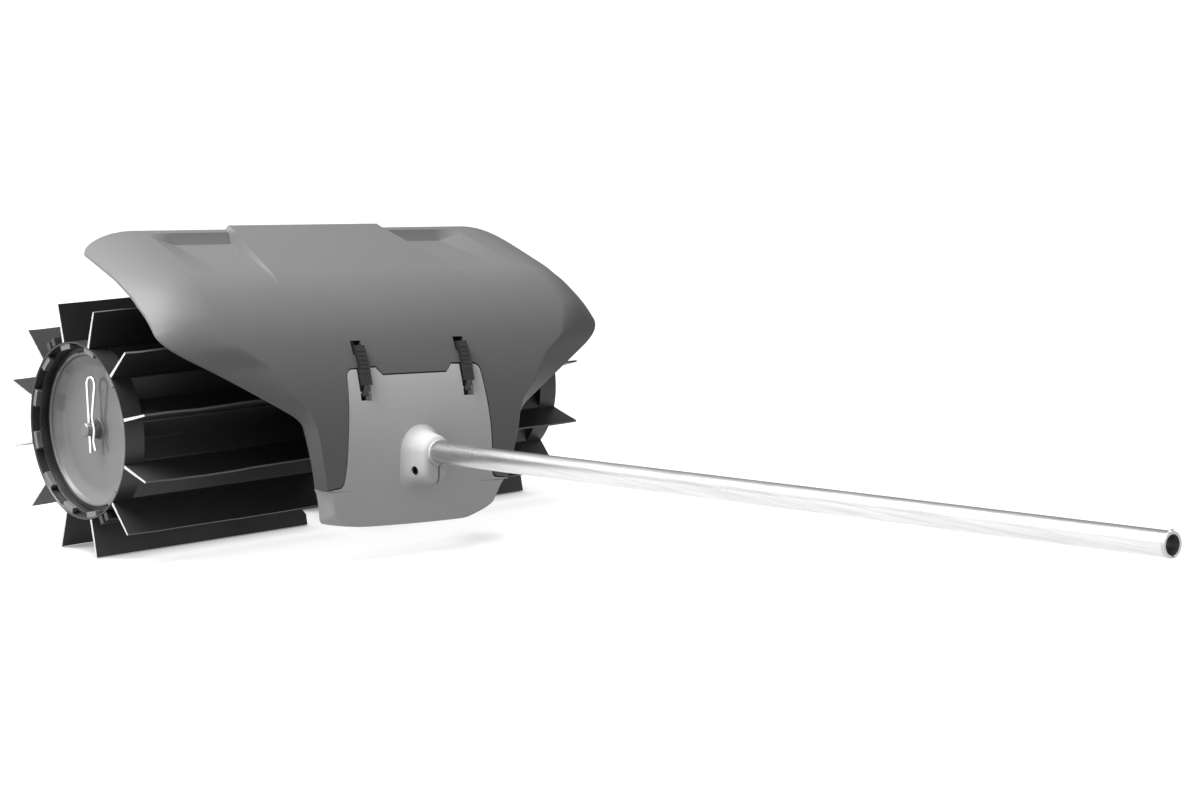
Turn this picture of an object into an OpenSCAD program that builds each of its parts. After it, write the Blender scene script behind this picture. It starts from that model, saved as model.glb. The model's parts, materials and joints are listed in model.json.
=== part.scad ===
// Power brush sweeper: a tool that fits on the tube of a power head.
// Two drums with rubber flaps turn on one axle, driven by a worm gear between them.
// Origin: centre of the tube's free end. +X runs along the axle to the right,
// +Y goes towards the drums and +Z is up. The flaps stand on the ground.

/* [Overall] */
// Working width over both drums
work_w = 600; // [500:10:700]
// Diameter over the flap tips
drum_d = 280; // [260:2:300]
// Distance along the tube from its free end to the foot below the axle
reach = 1268.6; // [1100:0.2:1400]
// Slope of the tube, rising towards its free end, in degrees
tube_rise = 4.24; // [2:0.02:7]

/* [Drum] */
// Number of flaps on a drum
flap_count = 12; // [10:1:14]
// Thickness of a flap at its root
flap_t = 4; // [3:0.2:5]
// Thickness of a flap at its tip
flap_tip_t = 2.8; // [2:0.1:3.6]
// Diameter of the bead that holds a flap in its groove
flap_bead_d = 6.4; // [5.6:0.1:7]
// Diameter of the drum body at the flap roots
body_d = 195; // [190:1:204]
// Diameter of the body at the bottom of the valleys between flaps
valley_d = 164; // [156:1:168]
// Wall of the drum shells
shell_wall = 3; // [2.4:0.1:3.6]
// Free space between the two drums
drum_gap = 55; // [54:1:64]
// Width of the end ring at the outer end of a drum
end_ring_w = 24; // [22:1:30]
// Height of the parting lugs over the drum body
lug_h = 9.5; // [6:0.5:14]
// Gap between the two lugs of a pair
lug_gap = 4.5; // [3:0.5:7]
// Depth of the end cap's dish
cap_dish = 7; // [6:0.5:8]

/* [Axle] */
// Diameter of the axle
axle_d = 15; // [14:0.5:16]
// Distance from the outer face of the end ring back to the axle's end
axle_inset = 9; // [7:0.5:11]
// Wire of the R-clip
clip_wire_d = 3.5; // [3:0.1:4]
// Diameter of the cross pin that drives a drum
drive_pin_d = 5; // [4:0.5:6]

/* [Gears] */
// Module of the worm gear pair
gear_module = 2; // [1.8:0.1:2.2]
// Teeth of the worm wheel
wheel_teeth = 28; // [26:1:30]
// Pitch diameter of the worm
worm_pitch_d = 22; // [20:0.5:24]
// Width of the wheel's teeth
wheel_w = 12; // [10:0.5:13]
// Backlash at the pitch line
backlash = 0.4; // [0.3:0.05:0.6]

/* [Gearbox] */
// Width of the gearbox over the wheel case
gearbox_w = 50; // [49:0.5:52]
// Wall of the gearbox casting
case_wall = 5; // [4:0.5:6]
// Width of the bolting flange past the casting
flange_edge = 9; // [8:0.5:11]
// Diameter of the gearbox screws
case_screw_d = 5; // [4:0.5:5.5]
// Length of tube held in the gearbox neck
neck_grip = 70; // [50:2:90]

/* [Tube and shaft] */
// Outer diameter of the tube
tube_d = 24; // [23:0.5:25]
// Wall of the tube
tube_wall = 1.5; // [1.2:0.1:2]
// Diameter of the drive shaft
shaft_d = 8; // [7:0.5:9]
// Width of the square end of the drive shaft
shaft_square = 5.4; // [5:0.1:5.8]
// Depth of the drive shaft's end inside the tube
shaft_inset = 18; // [10:1:30]
// Number of shaft bushes in the tube
bush_count = 4; // [3:1:6]

/* [Guard] */
// Turn of the guard about the tube, right side down, in degrees
guard_turn = 3.3; // [-4:0.1:4]
// Distance of the plate's foremost line in front of the axle
face_out = 225.5; // [220:1:240]
// Height of the plate's foremost line below the axle
face_drop = 35; // [30:1:40]
// Radius of the front face seen from the side
face_r = 260; // [240:5:300]
// Radius of the bend from the face to the roof
bend_r = 155; // [145:1:170]
// Length of the flat roof behind the bend
roof_len = 124; // [100:2:135]
// Wall of the hood
hood_wall = 3; // [2.4:0.1:3.4]
// Wall of the front plate
plate_wall = 3; // [2.6:0.1:3.6]
// Half width of the wings at the elbow
wing_w = 303; // [290:1:320]
// Depth of the sunk panels at the rear of the hood
panel_depth = 16; // [8:1:18]
// Drop of the wings' rear edge below the middle band
rear_step = 5; // [2:0.5:7]
// Width of the seam between hood and plate
seam = 0.9; // [0.6:0.1:1]
// Distance of each latch from the middle
latch_x = 70.7; // [66:0.5:74]
// Width of a latch
latch_w = 12.6; // [10:0.2:14]
// How far the boss stands out from the plate
boss_out = 29; // [24:1:34]
// Half width of the boss at the plate
boss_w = 25.5; // [23:0.5:28]

/* [Hidden] */
$fn = 64;

// Fits
fit = 0.05;
running_fit = 0.05;
gap = 0.3;
eps = 0.01;

// Worm gear pair
wheel_pitch_r = gear_module * wheel_teeth / 2;
wheel_tip_r = wheel_pitch_r + gear_module;
worm_pitch_r = worm_pitch_d / 2;
worm_tip_r = worm_pitch_r + gear_module;
dedendum = 1.2 * gear_module;
worm_root_r = worm_pitch_r - dedendum;
pressure_angle = 20;
lead = PI * gear_module;
lead_angle = atan(lead / (PI * worm_pitch_d));
axle_over_tube = wheel_pitch_r + worm_pitch_r;
worm_turns = 6;
worm_half = worm_turns * lead / 2;

// Place of the axle
axle_y = reach * cos(tube_rise) + axle_over_tube * sin(tube_rise);
axle_z = -reach * sin(tube_rise) + axle_over_tube * cos(tube_rise);

// Bearings of the axle and of the worm: inner and outer diameter and width
axle_r = axle_d / 2;
axle_brg_or = axle_r + 8.5;
axle_brg_w = 9;
worm_journal_r = 5;
worm_brg_or = 13;
worm_brg_w = 8;
race_t = 2.2;

// Gearbox along the axle
case_hw = gearbox_w / 2;
seal_w = 3.7;
axle_brg_x1 = case_hw - seal_w - gap;
axle_brg_x0 = axle_brg_x1 - axle_brg_w;
wheel_room = 1.2;
wheel_case_r = wheel_tip_r + wheel_room + case_wall;
hub_r = 14;
key_w = 5;
key_sink = 3;
key_rise = 2;

// Gearbox along the tube, measured from the foot below the axle
worm_brg_y0 = worm_half + 3;
worm_brg_y1 = worm_brg_y0 + worm_brg_w;
tunnel_r = max(worm_tip_r + 1, worm_brg_or) + case_wall;
tunnel_end = worm_brg_y1 + case_wall;
shaft_seal_y0 = worm_brg_y1 + 1.5;
shaft_seal_w = 5;
coupling_r = 7.5;
coupling_y0 = shaft_seal_y0 + shaft_seal_w + 1.2;
coupling_len = 16;
coupling_bore_r = 9;
tube_stop = coupling_y0 + coupling_len + 6;
neck_end = tube_stop + neck_grip;
neck_r = tube_d / 2 + case_wall;
flange_t = 4;
screw_head_r = case_screw_d * 0.85;
screw_out = screw_head_r + 0.4;

// Tube and shaft
tube_r = tube_d / 2;
tube_ir = tube_r - tube_wall;
shaft_r = shaft_d / 2;
tube_len = reach - tube_stop - gap;
bush_len = 14;
end_lip = 3;
ring_wall = 1.2;
ring_len = 24;
ear_h = 2.2;
ear_w = 1.2;
ear_gap = 1;
ring_slot_w = 2.4;

// Drum, measured from the middle along the axle
half_w = work_w / 2;
drum_in = drum_gap / 2;
hub_flange_t = 3;
shell_x0 = drum_in + hub_flange_t;
shell_x1 = half_w - end_ring_w;
body_r = body_d / 2;
valley_r = valley_d / 2;
tip_r = drum_d / 2;
flap_step = 360 / flap_count;
groove_depth = 9.5;
groove_wall = 2.6;
spigot_r = valley_r - shell_wall - gap;
spigot_t = 3;
hub_plate_r = 17;
hub_plate_len = 28;
drive_pin_x = drum_in + hub_plate_len - 4;
drive_pin_len = 30;
lug_w = 6.5;
lug_root = 14;
right_drum_turn = 60;

// End cap and R-clip
cap_t = 2.5;
cap_flange_x = shell_x1 + 3;
cap_floor_x = cap_flange_x + cap_t - cap_dish;
cap_bead_r = valley_r + 1.5;
cap_bead_t = 2.4;
cap_floor_r = spigot_r - spigot_t - 5.7;
cap_lip_r = cap_bead_r - 3.3;
cap_boss_r = axle_r + 3.2;
axle_end = half_w - axle_inset;
clip_x = axle_end - 7;
clip_r = clip_wire_d / 2;
clip_tilt = -4.5;
clip_loop_r = 8;
clip_loop_z = 50;
clip_foot_z = -26;

// Guard profile: from the foot of the hood's legs along the face, the bend and the roof
face_cy = -face_out + face_r;
face_cut_y0 = -1.35 * face_out;
face_cut_y1 = -0.45 * face_out;
face_cut = face_cut_y1 - face_cut_y0;
leg_foot_a = -5.5;
face_top_a = 30.5;
bend_sweep = 41.6;
roof_slope = 90 - face_top_a - bend_sweep;
arc_deg = PI / 180;
face_len = (face_top_a - leg_foot_a) * arc_deg * face_r;
bend_len = bend_sweep * arc_deg * bend_r;
hood_len = face_len + bend_len + roof_len;
bend_cy = face_cy - (face_r - bend_r) * cos(face_top_a);
bend_cz = -face_drop + (face_r - bend_r) * sin(face_top_a);

// Half width of the hood along the profile
leg_w = 132.6;
leg_spread = 0.233;
wing_spread = 1.571;
arch_s = 79;
wing_taper = 0.02;
elbow_s = arch_s + (wing_w - leg_w - leg_spread * arch_s) / wing_spread;
rear_corner_len = 24;
rear_edge_w = wing_w - 60;

// Crease that parts the middle of the hood from its turned-down edge
crease_table = [[0, 124], [35, 132.5], [69, 139.6], [89.5, 148], [106, 166],
                [140, 192], [162, 222], [200, 240], [250, 240], [hood_len, 228]];
drop_table = [[0, 9], [75, 10.5], [110, 15.5], [150, 19], [200, 25], [250, 26],
              [310, 18.5], [hood_len, 16]];

// Sunk panels beside the middle band
panel_s0 = 238;
panel_s1 = hood_len - 8;
panel_power = 1.6;
panel_wall_run = 3;
panel_ramp = 30;
band_w0 = 134;
band_w1 = 104;
panel_out0 = 224;
panel_out1 = 215;

// Front plate outline
plate_top = 69;
plate_mid_top = 60.6;
plate_mid_w = 44;
tab_in_w = 52.5;
tab_out_w = 91.5;
plate_side_w = 101;
skirt_top = -61.5;
skirt_w = 124;
skirt_bottom = -106;
skirt_corner_r = 22;
return_depth = 10;
tongue_h = 30;
tongue_up = 16;
return_wall = 2.5;

// Latches
latch_pin_r = 1.5;
latch_pin_z = 43;
latch_pin_sink = 3.2;
latch_eye_r = 3.6;
latch_t = 4;
latch_lift = 1.6;
latch_top_z = 91;
latch_slot_z0 = 83;
latch_slot_z1 = 97.5;
latch_window_z0 = 34.8;
latch_side = 1;
cheek_t = 2;
cheek_depth = 11;
cheek_h = 20;
latch_ribs = 7;
latch_rib_r = 0.9;
latch_rib_sink = 0.3;
latch_rib_z0 = 63;
latch_rib_z1 = 86;

// Boss and clamp
boss_foot = 39;
boss_front_w = boss_w - 6.5;
sleeve_back = 24;
sleeve_r = tube_r + 4.5;
slit_w = 2.4;
clamp_screw_r = 2.5;
clamp_head_r = 4.2;
clamp_drop = 19.5;
clamp_fwd = 15;

// Frames
module along_tube() rotate([-tube_rise, 0, 0]) children();
module under_axle() along_tube() translate([0, reach, 0]) children();
module at_axle() translate([0, axle_y, axle_z]) children();
module in_guard()
  along_tube() rotate([0, guard_turn, 0]) rotate([tube_rise, 0, 0])
    at_axle() children();
module on_side(side) mirror([side < 0 ? 1 : 0, 0, 0]) children();

// Bars, rings and slabs along the axes
module bar_x(r, x0, x1) translate([x0, 0, 0]) rotate([0, 90, 0]) cylinder(r = r, h = x1 - x0);
module bar_y(r, y0, y1) translate([0, y0, 0]) rotate([-90, 0, 0]) cylinder(r = r, h = y1 - y0);
module ring_x(ro, ri, x0, x1)
  difference() {
    bar_x(ro, x0, x1);
    bar_x(ri, x0 - 1, x1 + 1);
  }
module ring_y(ro, ri, y0, y1)
  difference() {
    bar_y(ro, y0, y1);
    bar_y(ri, y0 - 1, y1 + 1);
  }
module spun_x(points) rotate([0, 90, 0]) rotate_extrude() polygon(points);
module slab_x(x0, x1)
  translate([x0, 0, 0]) rotate([90, 0, 90]) linear_extrude(height = x1 - x0) children();
module slab_y(y0, y1)
  translate([0, y1, 0]) rotate([90, 0, 0]) linear_extrude(height = y1 - y0) children();

function turned(a, p) = [p[0] * cos(a) - p[1] * sin(a), p[0] * sin(a) + p[1] * cos(a)];
function arc(c, r, a0, a1, n) =
  [for (i = [0:n]) let (a = a0 + (a1 - a0) * i / n) [c[0] + r * cos(a), c[1] + r * sin(a)]];

// Tube, its end ring and the shaft bushes

module drive_tube() color("silver") along_tube() ring_y(tube_r, tube_ir, 0, tube_len);

module tube_end_ring()
  color("gray") along_tube()
    difference() {
      union() {
        ring_y(tube_ir - fit, tube_ir - fit - ring_wall, -end_lip, ring_len);
        ring_y(tube_r, tube_ir - fit - ring_wall, -end_lip, -fit);
        for (x = [-ear_gap / 2 - ear_w, ear_gap / 2])
          translate([x, -end_lip, tube_r - 1]) cube([ear_w, end_lip - fit, ear_h + 1]);
      }
      translate([-ring_slot_w / 2, -end_lip - 1, -tube_r - 1])
        cube([ring_slot_w, ring_len + end_lip + 2, tube_wall + ring_wall + 2]);
    }

module shaft_bushes()
  color("dimgray") along_tube()
    for (i = [0:bush_count - 1])
      let (y = 70 + i * (tube_len - 70 - 60 - bush_len) / (bush_count - 1))
        ring_y(tube_ir - fit, shaft_r + running_fit, y, y + bush_len);

// Gearbox

function case_screw_points() = [
  [-neck_end + 8, neck_r + screw_out],
  [-neck_end + 8, -neck_r - screw_out],
  [-tube_stop - 2, neck_r + screw_out],
  [-tube_stop - 2, -neck_r - screw_out],
  [tunnel_end - 8, -tunnel_r - screw_out],
  [(wheel_case_r + screw_out) * cos(20), axle_over_tube + (wheel_case_r + screw_out) * sin(20)],
  [0, axle_over_tube + wheel_case_r + screw_out],
  [(wheel_case_r + screw_out) * cos(160), axle_over_tube + (wheel_case_r + screw_out) * sin(160)]
];

module case_outline() {
  translate([0, axle_over_tube]) circle(r = wheel_case_r + flange_edge);
  translate([-neck_end, -neck_r - flange_edge]) square([neck_end, 2 * (neck_r + flange_edge)]);
  translate([-tunnel_end, -tunnel_r - flange_edge])
    square([2 * tunnel_end, tunnel_r + flange_edge + axle_over_tube]);
}

module gearbox_half(side)
  under_axle() on_side(side)
    difference() {
      union() {
        slab_x(0, flange_t) case_outline();
        translate([0, 0, axle_over_tube]) bar_x(wheel_case_r, 0, case_hw);
        intersection() {
          union() {
            bar_y(tunnel_r, -tunnel_end, tunnel_end);
            bar_y(neck_r, -neck_end, 0);
          }
          translate([0, -neck_end - 1, -50]) cube([50, neck_end + tunnel_end + 2, 100]);
        }
        for (p = case_screw_points())
          translate([0, p[0], p[1]]) bar_x(case_screw_d, 0, flange_t + 5);
      }
      translate([0, 0, axle_over_tube]) {
        bar_x(wheel_tip_r + wheel_room, -1, axle_brg_x0 - 3);
        bar_x(hub_r + 1, -1, axle_brg_x0 + 1);
        bar_x(axle_brg_or, axle_brg_x0, axle_brg_x1 + gap);
        bar_x(axle_brg_or - 1.5, axle_brg_x1, case_hw + 1);
      }
      bar_y(worm_tip_r + 1, -worm_brg_y0, worm_brg_y0);
      bar_y(worm_brg_or, -worm_brg_y1, worm_brg_y1);
      bar_y(coupling_bore_r, -tube_stop - 1, -worm_brg_y1 + 1);
      bar_y(tube_r + fit, -neck_end - 1, -tube_stop);
      for (p = case_screw_points())
        translate([0, p[0], p[1]]) bar_x(case_screw_d / 2 + fit, -1, flange_t + 6);
      if (side > 0)
        translate([0, 0, axle_over_tube]) grease_plug_place() bar_x(grease_plug_r + fit, -20, 10);
    }

grease_plug_r = 4;
grease_plug_a = 62;

module grease_plug_place()
  rotate([grease_plug_a, 0, 0]) translate([case_hw - 2, wheel_tip_r - 4, 0]) children();

module gearbox_left() color("gray") gearbox_half(-1);
module gearbox_right() color("gray") gearbox_half(1);

module hex_socket(x0, x1, r) bar_x(r, x0, x1, $fn = 6);

module gearbox_screws()
  color("dimgray") under_axle()
    for (p = case_screw_points())
      translate([0, p[0], p[1]])
        difference() {
          union() {
            bar_x(case_screw_d / 2, -flange_t - 5, flange_t + 6);
            bar_x(screw_head_r, flange_t + 5 + fit, flange_t + 5 + fit + case_screw_d);
            bar_x(screw_head_r, -flange_t - 5 - fit - case_screw_d * 0.8, -flange_t - 5 - fit, $fn = 6);
          }
          translate([flange_t + 5 + case_screw_d * 0.5, 0, 0]) rotate([0, 90, 0])
            cylinder(r = case_screw_d * 0.45, h = case_screw_d, $fn = 6);
        }

module grease_plug()
  color("dimgray") under_axle() translate([0, 0, axle_over_tube])
    grease_plug_place()
      difference() {
        bar_x(grease_plug_r, -5, 1.8);
        bar_x(grease_plug_r * 0.55, -1.5, 3, $fn = 6);
      }

// Ball bearings: outer rings and balls stay with the gearbox, inner rings turn

module bearing_outer(ro, x0, x1) ring_x(ro - fit, ro - race_t, x0, x1);
module bearing_inner(ri, x0, x1) ring_x(ri + race_t, ri, x0, x1);
module bearing_balls(ri, ro, x, n) {
  room = ro - ri - 2 * race_t;
  for (i = [0:n - 1])
    rotate([i * 360 / n, 0, 0]) translate([x, (ri + ro) / 2, 0]) sphere(d = room - 0.1, $fn = 24);
}

module both_sides() for (side = [-1, 1]) on_side(side) children();

module axle_bearing_outer_rings()
  color("silver") at_axle() both_sides() bearing_outer(axle_brg_or, axle_brg_x0, axle_brg_x1);
module axle_bearing_balls()
  color("white") at_axle() both_sides()
    bearing_balls(axle_r, axle_brg_or, (axle_brg_x0 + axle_brg_x1) / 2, 9);
module axle_bearing_inner_rings()
  color("silver") at_axle() both_sides() bearing_inner(axle_r + fit, axle_brg_x0, axle_brg_x1);

module at_worm_bearings()
  under_axle() for (a = [90, -90]) rotate([0, 0, a]) children();

module worm_bearing_outer_rings()
  color("silver") at_worm_bearings() bearing_outer(worm_brg_or, worm_brg_y0, worm_brg_y1);
module worm_bearing_balls()
  color("white") at_worm_bearings()
    bearing_balls(worm_journal_r, worm_brg_or, (worm_brg_y0 + worm_brg_y1) / 2, 8);
module worm_bearing_inner_rings()
  color("silver") at_worm_bearings() bearing_inner(worm_journal_r + fit, worm_brg_y0, worm_brg_y1);

spacer_r = axle_r + 2.6;

module axle_seals()
  color("black") at_axle() both_sides()
    ring_x(axle_brg_or - 1.5 - fit, spacer_r + running_fit, axle_brg_x1 + gap + fit, case_hw);

module axle_spacers()
  color("silver") at_axle() both_sides()
    ring_x(spacer_r, axle_r + fit, axle_brg_x1 + fit, drum_in - fit);

module shaft_seal()
  color("black") under_axle()
    ring_y(coupling_bore_r - fit, worm_journal_r + running_fit,
           -shaft_seal_y0 - shaft_seal_w, -shaft_seal_y0);

// Worm gear pair

function involute(a) = tan(a) - a * PI / 180;
wheel_base_r = wheel_pitch_r * cos(pressure_angle);
function flank_half_angle(r) =
  let (a = acos(min(1, wheel_base_r / r)))
    ((PI * gear_module / 2 - backlash / 2) / 2 / wheel_pitch_r
     + involute(pressure_angle) - involute(a)) * 180 / PI;
wheel_root_r = wheel_pitch_r - dedendum;
flank_radii = [wheel_root_r,
               wheel_base_r,
               wheel_pitch_r - gear_module * 0.4,
               wheel_pitch_r + gear_module * 0.4,
               wheel_tip_r];
function tooth(a) = concat(
  [for (i = [0:len(flank_radii) - 1])
    let (r = flank_radii[i]) turned(a - flank_half_angle(max(r, wheel_base_r)), [r, 0])],
  [for (i = [len(flank_radii) - 1:-1:0])
    let (r = flank_radii[i]) turned(a + flank_half_angle(max(r, wheel_base_r)), [r, 0])]);

wheel_lean = wheel_w / 2 * tan(lead_angle) / wheel_pitch_r * 180 / PI;

module worm_wheel()
  color("peru") at_axle() rotate([-tube_rise, 0, 0])
    difference() {
      union() {
        rotate([90, 0, 90])
          translate([0, 0, -wheel_w / 2])
            linear_extrude(height = wheel_w, slices = 3,
                           twist = -2 * wheel_lean)
              rotate(-wheel_lean - 90)
                polygon([for (k = [0:wheel_teeth - 1]) each tooth(k * 360 / wheel_teeth)]);
        bar_x(hub_r, -axle_brg_x0 + fit, axle_brg_x0 - fit);
      }
      bar_x(axle_r + fit, -50, 50);
      translate([-50, -key_w / 2 - fit, 0]) cube([100, key_w + 2 * fit, axle_r + key_rise + fit]);
    }

module wheel_key()
  color("silver") at_axle() rotate([-tube_rise, 0, 0])
    translate([-9, -key_w / 2, axle_r - key_sink + fit]) cube([18, key_w, key_sink + key_rise - fit]);

worm_steps = 24;
worm_taper = 3;
function thread_ring(i, n) =
  let (a = i * 360 / worm_steps,
       y = -worm_half + lead * i / worm_steps,
       grow = min(1, i / worm_taper, (n - i) / worm_taper),
       half_p = (PI * gear_module / 2 - backlash / 2) / 2,
       r0 = worm_root_r - 0.6,
       r1 = worm_root_r + (worm_tip_r - worm_root_r) * grow,
       h0 = half_p + (worm_pitch_r - r0) * tan(pressure_angle),
       h1 = half_p + (worm_pitch_r - r1) * tan(pressure_angle))
    [for (p = [[r0, -h0], [r0, h0], [r1, h1], [r1, -h1]])
      [p[0] * sin(a), y + p[1], p[0] * cos(a)]];

// A body swept through a list of rings with the same number of points
module sweep(rings) {
  n = len(rings) - 1;
  k = len(rings[0]);
  sides = [for (i = [0:n - 1]) for (j = [0:k - 1])
    let (a = k * i + j, b = k * i + (j + 1) % k, c = b + k, d = a + k)
      each [[a, c, b], [a, d, c]]];
  first = [for (j = [1:k - 2]) [0, j, j + 1]];
  last = [for (j = [1:k - 2]) [k * n, k * n + j + 1, k * n + j]];
  polyhedron([for (ring = rings) each ring], concat(sides, first, last));
}

module worm_thread() {
  n = worm_steps * worm_turns;
  sweep([for (i = [0:n]) thread_ring(i, n)]);
}

// The thread starts half a lead off, so a gap lies under the wheel's lowest tooth
module worm()
  color("silver") under_axle()
    difference() {
      union() {
        rotate([0, 180, 0]) worm_thread();
        bar_y(worm_root_r, -worm_half - 2, worm_half + 2);
        bar_y(worm_journal_r + 1.5, -worm_brg_y0, worm_brg_y0);
        bar_y(worm_journal_r, -coupling_y0 - 1, worm_brg_y1 - gap);
        bar_y(coupling_r, -coupling_y0 - coupling_len, -coupling_y0);
      }
      translate([-shaft_square / 2 - fit, -coupling_y0 - coupling_len - 1, -shaft_square / 2 - fit])
        cube([shaft_square + 2 * fit, coupling_len - 2, shaft_square + 2 * fit]);
    }

module drive_shaft()
  color("silver") along_tube() {
    shaft_end = reach - coupling_y0 - coupling_len;
    bar_y(shaft_r, shaft_inset + 20, shaft_end - 1);
    translate([-shaft_square / 2, shaft_inset, -shaft_square / 2])
      cube([shaft_square, shaft_end - shaft_inset + coupling_len - 4, shaft_square]);
  }

// Axle with its keyway, cross pins and clip holes

module clip_frame() rotate([clip_tilt, 0, 0]) translate([clip_x, 0, 0]) children();

module axle()
  color("silver") at_axle()
    difference() {
      union() {
        bar_x(axle_r, -axle_end + 1, axle_end - 1);
        both_sides() translate([axle_end - 1, 0, 0]) rotate([0, 90, 0])
          cylinder(r1 = axle_r, r2 = axle_r - 1, h = 1);
      }
      rotate([-tube_rise, 0, 0])
        translate([-9 - fit, -key_w / 2 - fit, axle_r - key_sink]) cube([18 + 2 * fit, key_w + 2 * fit, 10]);
      both_sides() {
        translate([drive_pin_x, 0, -20]) cylinder(r = drive_pin_d / 2 + fit, h = 40);
        clip_frame() translate([0, 0, -20]) cylinder(r = clip_r + 0.15, h = 40);
      }
    }

module drum_side(side) at_axle() on_side(side) rotate([side > 0 ? right_drum_turn : 0, 0, 0]) children();

module hub_plate(side)
  drum_side(side)
    difference() {
      union() {
        spun_x([[axle_r + fit, drum_in],
                [body_r, drum_in],
                [body_r, shell_x0],
                [spigot_r, shell_x0],
                [spigot_r, shell_x0 + 16],
                [spigot_r - spigot_t, shell_x0 + 16],
                [spigot_r - spigot_t, shell_x0],
                [hub_plate_r, shell_x0],
                [hub_plate_r, drum_in + hub_plate_len],
                [axle_r + fit, drum_in + hub_plate_len]]);
        for (a = [15:60:345])
          rotate([a, 0, 0]) translate([drum_in + 1, hub_plate_r - 2, -1.5])
            cube([13, spigot_r - hub_plate_r, 3]);
      }
      rotate([side > 0 ? -right_drum_turn : 0, 0, 0])
        translate([drive_pin_x - drive_pin_d / 2 - fit, -drive_pin_d / 2 - fit, -hub_plate_r - 1])
          cube([hub_plate_len, drive_pin_d + 2 * fit, 2 * hub_plate_r + 2]);
    }

module hub_plate_left() color("dimgray") hub_plate(-1);
module hub_plate_right() color("dimgray") hub_plate(1);

module drive_pin(side)
  at_axle() on_side(side)
    translate([drive_pin_x, 0, -drive_pin_len / 2]) cylinder(d = drive_pin_d, h = drive_pin_len);
module drive_pin_left() color("silver") drive_pin(-1);
module drive_pin_right() color("silver") drive_pin(1);

// Drum shells: a star of ridges that hold the flap beads, split through two valleys

function flap_angle(i) = flap_step / 2 + i * flap_step;
ridge_hw = flap_bead_d / 2 + groove_wall;
ridge_tip_hw = flap_t / 2 + groove_wall;
bead_place_r = body_r - groove_depth;
function star_out() = [for (i = [0:flap_count - 1]) each [
  turned(flap_angle(i), [body_r, -ridge_tip_hw]),
  turned(flap_angle(i), [body_r, ridge_tip_hw]),
  turned(flap_angle(i) + flap_step / 2, [valley_r, 0])]];
function star_in() = [for (i = [0:flap_count - 1]) each [
  turned(flap_angle(i), [bead_place_r + 1.6, -ridge_hw - 1.8]),
  turned(flap_angle(i), [bead_place_r - 2, -ridge_hw]),
  turned(flap_angle(i), [bead_place_r - flap_bead_d / 2 - groove_wall, -ridge_hw + 2]),
  turned(flap_angle(i), [bead_place_r - flap_bead_d / 2 - groove_wall, ridge_hw - 2]),
  turned(flap_angle(i), [bead_place_r - 2, ridge_hw]),
  turned(flap_angle(i), [bead_place_r + 1.6, ridge_hw + 1.8]),
  turned(flap_angle(i) + flap_step / 2, [valley_r - shell_wall, 0])]];

module shell_section()
  difference() {
    polygon(star_out());
    polygon(star_in());
    for (i = [0:flap_count - 1])
      rotate(flap_angle(i)) {
        translate([bead_place_r, 0]) circle(d = flap_bead_d + 2 * fit);
        translate([bead_place_r, -flap_t / 2 - fit]) square([groove_depth + 1, flap_t + 2 * fit]);
      }
  }

split_a = 60;

module lug()
  translate([0, lug_gap / 2, 0]) {
    translate([shell_x1 - lug_root, 0, valley_r - 1]) cube([lug_root - fit, lug_w, body_r + lug_h - valley_r + 1]);
    translate([shell_x1 - 1, 0, body_r + gap]) cube([half_w - shell_x1 + 1, lug_w, lug_h - gap]);
  }

module half_shell(side, upper)
  drum_side(side) rotate([split_a + (upper ? 0 : 180), 0, 0]) {
    intersection() {
      slab_x(shell_x0 + fit, shell_x1 - fit) rotate(-split_a) shell_section();
      translate([0, -body_r - 20, gap / 2]) cube([half_w, 2 * body_r + 40, body_r + 20]);
    }
    for (m = [0, 1])
      mirror([0, m, 0]) rotate([90, 0, 0]) lug();
  }

module upper_shell_left() color("dimgray") half_shell(-1, true);
module upper_shell_right() color("dimgray") half_shell(1, true);
module lower_shell_left() color("dimgray") half_shell(-1, false);
module lower_shell_right() color("dimgray") half_shell(1, false);

module flap() {
  root = 1.5;
  slab_x(shell_x0 + gap, shell_x1 - gap) {
    translate([bead_place_r, 0]) circle(d = flap_bead_d);
    translate([bead_place_r, -flap_t / 2]) square([groove_depth + root, flap_t]);
  }
  slab_x(drum_in, half_w)
    polygon([[body_r + gap, -flap_t / 2],
             [tip_r, -flap_tip_t / 2],
             [tip_r, flap_tip_t / 2],
             [body_r + gap, flap_t / 2]]);
}

module flap_set(side)
  drum_side(side) for (i = [0:flap_count - 1]) rotate([flap_angle(i), 0, 0]) flap();
module flaps_left() color([0.12, 0.12, 0.12]) flap_set(-1);
module flaps_right() color([0.12, 0.12, 0.12]) flap_set(1);

// End ring: a band with a pocket between every two flaps

ring_in_r = body_r - 6;
pocket_edge = 1.2;
pocket_len = 7.8;
module end_ring(side)
  drum_side(side)
    difference() {
      spun_x([[spigot_r - spigot_t, shell_x1 - 14],
              [spigot_r, shell_x1 - 14],
              [spigot_r, shell_x1],
              [body_r, shell_x1],
              [body_r, half_w],
              [body_r - 1.2, half_w],
              [ring_in_r, half_w - 11],
              [ring_in_r, cap_flange_x],
              [cap_lip_r + 0.4, cap_flange_x],
              [spigot_r - spigot_t, shell_x1 - 0.5]]);
      for (i = [0:flap_count - 1])
        rotate([flap_angle(i) + flap_step / 2 - flap_step * 0.28, 0, 0]) rotate([0, 90, 0]) rotate(90)
          rotate_extrude(angle = flap_step * 0.56)
            translate([ring_in_r - 3, half_w - pocket_edge - pocket_len])
              square([body_r - 1.8 - ring_in_r + 3, pocket_len]);
    }
module end_ring_left() color("gray") end_ring(-1);
module end_ring_right() color("gray") end_ring(1);

// End cap: a dished disc with a bead round its edge and a boss for the axle

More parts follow.
